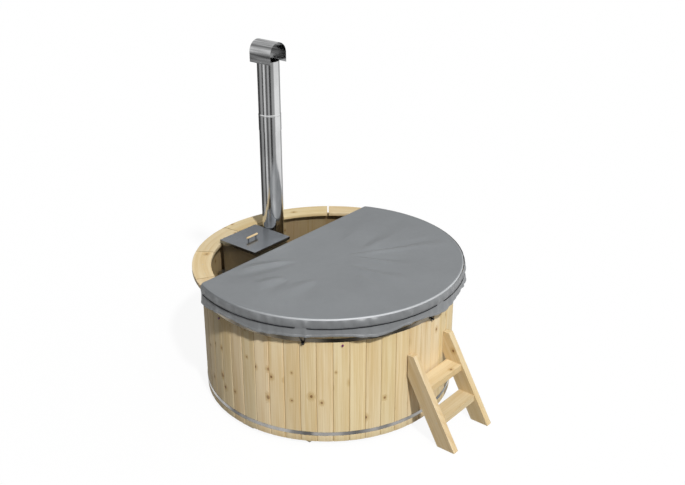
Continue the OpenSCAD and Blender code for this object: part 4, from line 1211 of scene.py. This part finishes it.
def loop_points(hook):
    """One loop of the cord: in through an eyelet, down under a hook and back out."""
    bend = 0.005
    inside = CORD_OUT - bend
    side_gap = 0.0004
    hook_r = WALL_OUT + SEAT + HOOK_PLATE + (HOOK_REACH - HOOK_ARM) / 2
    low = HOOK_ARM_Z - CORD_R - SEAT
    side = HOOK_HALF_W + CORD_R + side_gap
    first = hook - LOOP_HALF_ANGLE

    def turned(degrees):
        turn = math.radians(degrees)
        return near(first, inside + bend * math.cos(turn), -bend + bend * math.sin(turn), CORD_Z)

    down = [
        near(first, CORD_OUT, -bend, CORD_Z),
        turned(35),
        turned(70),
        near(first, inside - 0.002, 0, CORD_Z),
        near(first, inside - 0.007, 0.001, CORD_Z - 0.002),
        near(first, inside - 0.010, 0.002, CORD_Z - 0.007),
        near(hook, hook_r + 0.001, -side - 0.001, HOOK_ARM_Z + 0.014),
        near(hook, hook_r, -side, HOOK_ARM_Z),
        near(hook, hook_r, -side + 0.001, HOOK_ARM_Z - 0.0022),
        near(hook, hook_r, -side + 0.0032, low),
    ]
    across = polar(1, hook + 90)
    back = [p - 2 * p.dot(across) * across for p in reversed(down)]
    return down + back


def run_points(start, end):
    """A run of the cord round the skirt."""
    step = 3.2
    count = max(1, round((end - start) / step))
    return [polar(CORD_OUT, start + i * (end - start) / count, CORD_Z) for i in range(count + 1)]


def cord_route():
    """The whole cord, from one end of the skirt to the other."""
    clear = LOOP_HALF_ANGLE + 0.9
    end = CORNER_ANGLE - 2
    starts = [-180 - end] + [hook + clear for hook in HOOK_ANGLES]
    stops = [hook - clear for hook in HOOK_ANGLES] + [end]
    route = []
    for i, (start, stop) in enumerate(zip(starts, stops)):
        route += run_points(start, stop)
        if i < len(HOOK_ANGLES):
            route += loop_points(HOOK_ANGLES[i])
    return route


# The stage


def seen_directly(tree):
    """1 for the camera, for reflections and through clear pieces, and 0 for the light on the tub."""
    path = tree.node("ShaderNodeLightPath").outputs
    return tree.math("MAXIMUM", path["Is Camera Ray"],
                     tree.math("MAXIMUM", path["Is Glossy Ray"], path["Is Transmission Ray"]))


# Operators, one for each piece or group of like pieces


class HOTTUB_OT_stage(bpy.types.Operator):
    """Set the camera, the lights, the pale floor, and the cards and soft box that reflections see"""
    bl_idname = "hot_tub.stage"
    bl_label = "Stage"

    def execute(self, context):
        stage = context.scene.hot_tub_stage
        self.camera(context.scene, stage)
        self.lights(context.scene, stage)
        self.floor()
        self.screen()
        self.softbox(stage)
        context.scene.view_settings.view_transform = "Standard"
        return {"FINISHED"}

    def camera(self, scene, stage):
        """The photograph's viewpoint."""
        camera = bpy.data.objects.new("camera", bpy.data.cameras.new("camera"))
        scene.collection.objects.link(camera)
        right = Vector((0.63678, -0.77105, -0.00091))
        up = Vector((0.31846, 0.26193, 0.91103))
        back = Vector((-0.70221, -0.58041, 0.41234))
        turn = Matrix((right, up, back)).transposed().to_4x4()
        spot = (-4.5041, -3.8469, 3.7001)
        camera.matrix_world = Matrix.Translation(spot) @ turn
        camera.data.sensor_width = 36
        camera.data.lens = stage.lens
        camera.data.clip_end = 200
        scene.camera = camera

    def lights(self, scene, stage):
        """A key light, and a sky that is brighter from one side and white to camera and gloss."""
        lamp = bpy.data.lights.new("key_light", "SUN")
        lamp.energy = stage.sun
        lamp.angle = math.radians(3.5)
        key = bpy.data.objects.new("key_light", lamp)
        scene.collection.objects.link(key)
        flat, high = math.cos(stage.sun_height), math.sin(stage.sun_height)
        toward = Vector((flat * math.cos(stage.sun_turn), flat * math.sin(stage.sun_turn), high))
        key.rotation_euler = toward.to_track_quat("Z", "Y").to_euler()
        world = bpy.data.worlds.new("studio")
        world.use_nodes = True
        world.node_tree.nodes.clear()
        tree = Tree(world.node_tree)
        seen = seen_directly(tree)
        way = tree.node("ShaderNodeTexCoord").outputs["Generated"]
        side = (math.cos(stage.side_turn), math.sin(stage.side_turn), 0)
        faced = tree.vector("DOT_PRODUCT", way, side)
        least_fill = 0.12
        fill = tree.math("MULTIPLY_ADD", faced, stage.side_sky, stage.sky)
        fill = tree.math("MAXIMUM", fill, least_fill)
        strength = tree.math("ADD", tree.math("MULTIPLY", fill, tree.math("SUBTRACT", 1.0, seen)), seen)
        sky = tree.node("ShaderNodeBackground", {"Color": WHITE, "Strength": strength})
        tree.node("ShaderNodeOutputWorld", {"Surface": sky.outputs[0]})
        scene.world = world

    def floor(self):
        """A plain pale floor that keeps the tub's shadow."""
        half, height = 60, -0.0002
        corners = [(x * half, y * half, height) for x, y in ((-1, -1), (1, -1), (1, 1), (-1, 1))]
        floor = new_object("studio_floor", mesh_from("studio_floor", corners, [(0, 1, 2, 3)]))
        material, tree = blank_material("studio_floor")
        seen = seen_directly(tree)
        lit = tree.node("ShaderNodeBsdfDiffuse", {"Color": grey(0.25)})
        bright = tree.node("ShaderNodeBsdfDiffuse", {"Color": grey(0.98)})
        white = tree.node("ShaderNodeEmission", {"Color": WHITE, "Strength": 1.0})
        shown = tree.node("ShaderNodeMixShader", {0: 0.92, 1: bright.outputs[0], 2: white.outputs[0]})
        both = tree.node("ShaderNodeMixShader", {0: seen, 1: lit.outputs[0], 2: shown.outputs[0]})
        tree.node("ShaderNodeOutputMaterial", {"Surface": both.outputs[0]})
        floor.data.materials.append(material)

    def softbox(self, stage):
        """A curved soft box high in front of the tub, which only glossy surfaces see."""
        radius, turns, rises = 6.0, 28, 10
        lowest, climb, first, sweep = 42, 60, -205, 150
        points = []
        for j in range(rises + 1):
            rise = math.radians(lowest + climb * j / rises)
            for i in range(turns + 1):
                degrees = first + sweep * i / turns
                points.append(polar(radius * math.cos(rise), degrees, radius * math.sin(rise)))
        box = new_object("soft_box", mesh_from("soft_box", points, net_faces(rises + 1, turns + 1)))
        material, tree = blank_material("soft_box")
        glow = tree.node("ShaderNodeEmission", {"Color": WHITE, "Strength": stage.soft_box})
        tree.node("ShaderNodeOutputMaterial", {"Surface": glow.outputs[0]})
        box.data.materials.append(material)
        self.only_glossy(box)

    def only_glossy(self, made):
        """Hides a card of the stage from everything but reflections."""
        made.visible_camera = False
        made.visible_diffuse = False
        made.visible_shadow = False
        made.visible_transmission = False

    def screen(self):
        """Grey and white cards round the flue, as in a studio, which only reflections see."""
        radius, low, high = 2.3, 0.02, 1.88
        count, behind = 96, math.radians(40.5)
        points = []
        for z in (low, high):
            for i in range(count):
                points.append(polar(radius, 360 * i / count, z) + Vector((FLUE_X, FLUE_Y, 0)))
        mesh = mesh_from("reflection_cards", points, net_faces(2, count, closed=True))
        screen = new_object("reflection_cards", mesh)
        material, tree = blank_material("reflection_cards")
        x, y, _ = tree.separate(place(tree))
        turn = tree.math("ARCTAN2", tree.math("SUBTRACT", y, FLUE_Y), tree.math("SUBTRACT", x, FLUE_X))
        share = tree.math("FRACT", tree.math("DIVIDE", tree.math("SUBTRACT", turn, behind), 2 * math.pi))
        ramp = tree.node("ShaderNodeValToRGB", {0: share})
        self.cards(ramp.color_ramp)
        glow = tree.node("ShaderNodeEmission", {"Color": ramp.outputs[0], "Strength": 1.0})
        tree.node("ShaderNodeOutputMaterial", {"Surface": glow.outputs[0]})
        screen.data.materials.append(material)
        self.only_glossy(screen)

    def cards(self, ramp):
        """Brightness of the cards, by the turn in degrees from straight behind the flue."""
        cards = ((0, 0.05), (74, 0.07), (80, 0.36), (108, 0.40), (111, 0.07), (124, 0.07), (127, 0.73),
                 (144, 0.77), (148, 0.12), (166, 0.14), (169, 0.46), (184, 0.48), (187, 0.05),
                 (203, 0.05), (207, 0.36), (234, 0.40), (239, 0.98), (304, 0.95), (312, 0.45),
                 (360, 0.28))
        while len(ramp.elements) > 1:
            ramp.elements.remove(ramp.elements[-1])
        ramp.elements[0].position = 0
        for degrees, value in cards:
            element = ramp.elements[0] if degrees == 0 else ramp.elements.new(degrees / 360)
            element.color = grey(value)


class HOTTUB_OT_woodwork(bpy.types.Operator):
    """Give the boards, bearers, bench, guard and steps their spruce"""
    bl_idname = "hot_tub.woodwork"
    bl_label = "Woodwork"

    def execute(self, context):
        wood = context.scene.hot_tub_wood
        group = spruce_group(wood)
        made = {}
        for node, (name, layout) in WOODWORK.items():
            if name not in made:
                made[name] = spruce(name, group, layout, DARKENINGS.get(name))
            dress(node, made[name])
            if node not in UNROUNDED:
                soften(node, wood.edge if node != "floor_boards" else wood.edge / 2)
        return {"FINISHED"}


class HOTTUB_OT_staves(bpy.types.Operator):
    """Stand the staves round the tub, each a little out of line"""
    bl_idname = "hot_tub.staves"
    bl_label = "Staves"

    def execute(self, context):
        stage = context.scene.hot_tub_stage
        board = new_object("stave", stave_mesh())
        host = mesh_from("wall_staves", [(0, 0, 0)])
        staves = grown("wall_staves", host, ring_of_boards_tree(), {
            "Board": board, "Count": STAVE_COUNT - 1, "First": math.radians(STAVE_FIRST),
            "Pitch": math.radians(STAVE_PITCH), "Unevenness": 0.0004, "Seed": stage.seed,
            "Material": bpy.data.materials["Wall spruce"]})
        bpy.data.objects.remove(board)
        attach(staves, "tub")
        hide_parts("staves")
        return {"FINISHED"}


class HOTTUB_OT_metalwork(bpy.types.Operator):
    """Give the hoops, stove, flue, lid, drain and small parts their finishes"""
    bl_idname = "hot_tub.metalwork"
    bl_label = "Metalwork"

    def execute(self, context):
        metals = context.scene.hot_tub_metal
        along_hoop, upright = (0.1, 0.1, 3.0), (6.0, 6.0, 0.15)
        cowl_grain, lid_grain = (4.0, 0.3, 4.0), (0.2, 5.0, 1.0)
        finishes = {
            # The hoops' darker bands are painted reflections.
            metal("Hoop steel", metals.hoop, 0.26, along_hoop, scale=90.0, bands=((4, 4, 0), 0.3)):
                ("lower_hoop", "hoop_lugs", "hoop_bolts", "stove_brackets"),
            # The upper hoop's brown steel is painted reflection of the wood and painted shade under the
            # skirt.
            metal("Upper hoop steel", metals.upper_hoop, 0.22, along_hoop, scale=90.0,
                  bands=((5, 5, 0), 0.35)):
                ("upper_hoop",),
            metal("Flue steel", metals.flue, 0.13, upright, scale=20.0, spread=0.03, dents=0.25):
                ("lower_flue_pipe", "upper_flue_pipe"),
            metal("Cowl steel", metals.cowl, 0.24, cowl_grain, scale=20.0, spread=0.05,
                  bands=((34, 1.5, 34), 0.3)):
                ("flue_cowl", "cowl_rivets"),
            metal("Stove metal", metals.stove, 0.34, scale=14.0, spread=0.1, dents=0.3):
                ("stove_body", "stove_neck", "stove_feet", "flue_collar"),
            metal("Lid metal", metals.lid, 0.24, lid_grain, scale=24.0, spread=0.06, dents=0.15):
                ("hatch_lid", "grip_posts"),
            metal("Screw steel", (0.56, 0.56, 0.55), 0.3): ("hook_screws",),
            metal("Drain steel", (0.58, 0.58, 0.57), 0.22, scale=40.0):
                ("drain_flange", "drain_strainer", "drain_nut", "drain_valve_body", "drain_spigot",
                 "drain_ball"),
            metal("Eyelet metal", (0.34, 0.345, 0.355), 0.3): ("cover_eyelets",),
            metal("Grate iron", (0.09, 0.085, 0.08), 0.6, scale=120.0, spread=0.15, dents=0.6):
                ("fire_grate", "grate_legs"),
            coated("Black metal", (0.012, 0.012, 0.013), 0.4): ("cover_hooks",),
            coated("Knob plastic", (0.16, 0.012, 0.12), 0.45): ("wall_knobs",),
            coated("Lever paint", (0.30, 0.02, 0.018), 0.35): ("drain_lever",),
        }
        for material, nodes in finishes.items():
            for node in nodes:
                dress(node, material)
        plate_edge = 0.001
        for node in ("hatch_lid", "stove_neck", "stove_body"):
            soften(node, plate_edge)
        return {"FINISHED"}


class HOTTUB_OT_flue_beads(bpy.types.Operator):
    """Roll the beads of the flue's socket and lay the seams of its pipes"""
    bl_idname = "hot_tub.flue_beads"
    bl_label = "Flue beads and seams"

    def execute(self, context):
        tree = tube_tree()
        steel = bpy.data.materials["Flue steel"]
        dull = metal("Bead steel", (0.34, 0.34, 0.345), 0.5)
        bead_r, points_round, bead_z = 0.0012, 90, PIPE_HIGH.z - 0.004
        ring = [polar(SOCKET_R, 360 / points_round * i, bead_z) + Vector((FLUE_X, FLUE_Y, 0))
                for i in range(points_round)]
        bead = grown("socket_top_bead", line_host("socket_top_bead", ring, closed=True), tree, {
            "Radius": bead_r, "Step": 0.006, "Sides": 10, "Material": dull})
        shade(bead.data)
        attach(bead, "tub")
        seam_side = Vector((0.64, 0.77, 0)).normalized()
        for name, low, high in (
                ("lower_pipe_seam", PIPE_LOW.z + 0.062, SOCKET_LOW.z - 0.002),
                ("upper_pipe_seam", PIPE_HIGH.z + 0.012, SOCKET_HIGH.z - 0.002)):
            ends = [Vector((FLUE_X, FLUE_Y, z)) + FLUE_R * seam_side for z in (low, high)]
            seam = grown(name, line_host(name, ends), tree, {
                "Radius": bead_r, "Step": 0.02, "Sides": 8, "Material": steel})
            shade(seam.data)
            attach(seam, "tub")
        return {"FINISHED"}


class HOTTUB_OT_screws(bpy.types.Operator):
    """Drive the screws of the rim and the steps, with their recesses"""
    bl_idname = "hot_tub.screws"
    bl_label = "Screws"

    def execute(self, context):
        stage = context.scene.hot_tub_stage
        tree = screws_tree()
        screw = new_object("screw", screw_mesh(0.0045, 0.003, 0.0022, 0.03))
        steel = bpy.data.materials["Screw steel"]
        middle = (WALL_IN + WALL_OUT) / 2
        turns = [RIM_FIRST + (k + share) * 360 / RIM_COUNT
                 for k in range(RIM_COUNT) for share in RIM_SCREW_SHARES]
        rim = [(polar(middle, turn, RIM_TOP + SCREW_HEAD_RISE), Vector(Z)) for turn in turns]
        low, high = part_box("tread_screws")
        sides = ((low.x - SCREW_HEAD_RISE, -1), (high.x + SCREW_HEAD_RISE, 1))
        steps = [(Vector((x, y, z)), Vector((way, 0, 0)))
                 for y, z in self.tread_screw_places() for x, way in sides]
        for name, places, body, node in (("rim_screw_heads", rim, "tub", "rim_screws"),
                                         ("step_screw_heads", steps, "steps", "tread_screws")):
            host = mesh_from(name, [spot for spot, _ in places])
            axis = host.attributes.new("axis", "FLOAT_VECTOR", "POINT")
            for item, (_, way) in zip(axis.data, places):
                item.vector = way
            made = grown(name, host, tree, {"Screw": screw, "Seed": stage.seed, "Material": steel})
            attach(made, body)
            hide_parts(node)
        bpy.data.objects.remove(screw)
        return {"FINISHED"}

    def tread_screw_places(self):
        """Middles of the screws through a stringer: two into each end of each tread."""
        low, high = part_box("treads")
        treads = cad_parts["treads"].data.vertices
        places = []
        for upper in (False, True):
            own = [v.co for v in treads if (v.co.z > (low.z + high.z) / 2) == upper]
            y0, y1 = min(p.y for p in own), max(p.y for p in own)
            z = (min(p.z for p in own) + max(p.z for p in own)) / 2
            for share in (0.25, 0.75):
                places.append((y0 + share * (y1 - y0), z))
        return places


class HOTTUB_OT_pad(bpy.types.Operator):
    """Make the padded top of the cover"""
    bl_idname = "hot_tub.pad"
    bl_label = "Cover pad"

    def execute(self, context):
        cover = context.scene.hot_tub_cover
        pad = new_object("cover_pad_cloth", pad_mesh(cover))
        swell(pad, cover)
        round_up = pad.modifiers.new("Round", "SUBSURF")
        round_up.levels = round_up.render_levels = 1
        applied(pad)
        lay_folds(pad)
        map_cloth(pad)
        shade(pad.data, 80)
        # The pad's cloth carries the painted highlight round its edge.
        pad.data.materials.append(cover_cloth("Cover cloth", cover.cloth, tuple(cover.wear_and_highlight)))
        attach(pad, "cover")
        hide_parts("cover_pad")
        return {"FINISHED"}


class HOTTUB_OT_skirt(bpy.types.Operator):
    """Hang the cover's skirt with its gathers, folds and hem"""
    bl_idname = "hot_tub.skirt"
    bl_label = "Cover skirt"

    def execute(self, context):
        skirt = new_object("cover_skirt_cloth", skirt_mesh())
        thick = skirt.modifiers.new("Thickness", "SOLIDIFY")
        thick.thickness = CLOTH_T
        thick.offset = -1
        applied(skirt)
        shade(skirt.data, 60)
        # Painted light: the skirt takes the lighter copy of the cover's cloth.
        skirt.data.materials.append(cover_cloth("Skirt cloth", context.scene.hot_tub_cover.skirt))
        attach(skirt, "cover")
        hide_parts("cover_skirt")
        return {"FINISHED"}


class HOTTUB_OT_stitches(bpy.types.Operator):
    """Sew the skirt to the pad and turn up its hem"""
    bl_idname = "hot_tub.stitches"
    bl_label = "Stitches"

    def execute(self, context):
        cover = context.scene.hot_tub_cover
        thread = coated("Seam thread", cover.thread, 0.6)
        tree = stitches_tree()
        for name, row in (("skirt_seam_stitches", SEAM_ROW), ("hem_stitches", HEM_ROW)):
            line = []
            for i in range(2, SKIRT_STEPS - 1):
                spot = skirt_point(skirt_angle(i), row)
                line.append(spot + polar(0.0002, skirt_angle(i)))
            made = grown(name, line_host(name, line), tree, {
                "Step": cover.stitch, "Length": 0.72 * cover.stitch, "Thickness": 0.0009,
                "Material": thread})
            shade(made.data, 80)
            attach(made, "cover")
        return {"FINISHED"}


class HOTTUB_OT_elastic(bpy.types.Operator):
    """Thread the elastic cord through the eyelets and under the hooks"""
    bl_idname = "hot_tub.elastic"
    bl_label = "Elastic cord"

    def execute(self, context):
        cord = grown("elastic_cord_braid", line_host("elastic_cord_braid", cord_route()), tube_tree(), {
            "Radius": CORD_R, "Step": 0.004, "Sides": 10,
            "Material": thread_material("Elastic braid", (0.006, 0.006, 0.008))})
        shade(cord.data, 60)
        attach(cord, "cover")
        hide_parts("elastic_cord")
        return {"FINISHED"}


class HOTTUB_PT_build(bpy.types.Panel):
    """Sidebar panel with the tub's steps and settings"""
    bl_idname = "HOTTUB_PT_build"
    bl_label = "Hot tub"
    bl_space_type = "VIEW_3D"
    bl_region_type = "UI"
    bl_category = "Hot tub"

    def draw(self, context):
        for operator in OPERATORS:
            self.layout.operator(operator.bl_idname)
        for group in (context.scene.hot_tub_wood, context.scene.hot_tub_metal,
                      context.scene.hot_tub_cover, context.scene.hot_tub_stage):
            box = self.layout.box()
            for name in group.__annotations__:
                box.prop(group, name)


GROUPS = {"hot_tub_wood": HotTubWood, "hot_tub_metal": HotTubMetal,
          "hot_tub_cover": HotTubCover, "hot_tub_stage": HotTubStage}
OPERATORS = (HOTTUB_OT_stage, HOTTUB_OT_woodwork, HOTTUB_OT_staves, HOTTUB_OT_metalwork,
             HOTTUB_OT_flue_beads, HOTTUB_OT_screws, HOTTUB_OT_pad, HOTTUB_OT_skirt,
             HOTTUB_OT_stitches, HOTTUB_OT_elastic)


def register():
    for name, group in GROUPS.items():
        bpy.utils.register_class(group)
        setattr(bpy.types.Scene, name, PointerProperty(type=group))
    for made in (*OPERATORS, HOTTUB_PT_build):
        bpy.utils.register_class(made)


def unregister():
    for made in (HOTTUB_PT_build, *reversed(OPERATORS)):
        bpy.utils.unregister_class(made)
    for name, group in GROUPS.items():
        delattr(bpy.types.Scene, name)
        bpy.utils.unregister_class(group)


def main():
    register()
    bpy.ops.hot_tub.stage()
    bpy.ops.hot_tub.woodwork()
    bpy.ops.hot_tub.staves()
    bpy.ops.hot_tub.metalwork()
    bpy.ops.hot_tub.flue_beads()
    bpy.ops.hot_tub.screws()
    bpy.ops.hot_tub.pad()
    bpy.ops.hot_tub.skirt()
    bpy.ops.hot_tub.stitches()
    bpy.ops.hot_tub.elastic()
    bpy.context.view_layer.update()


if __name__ == "__main__":
    main()
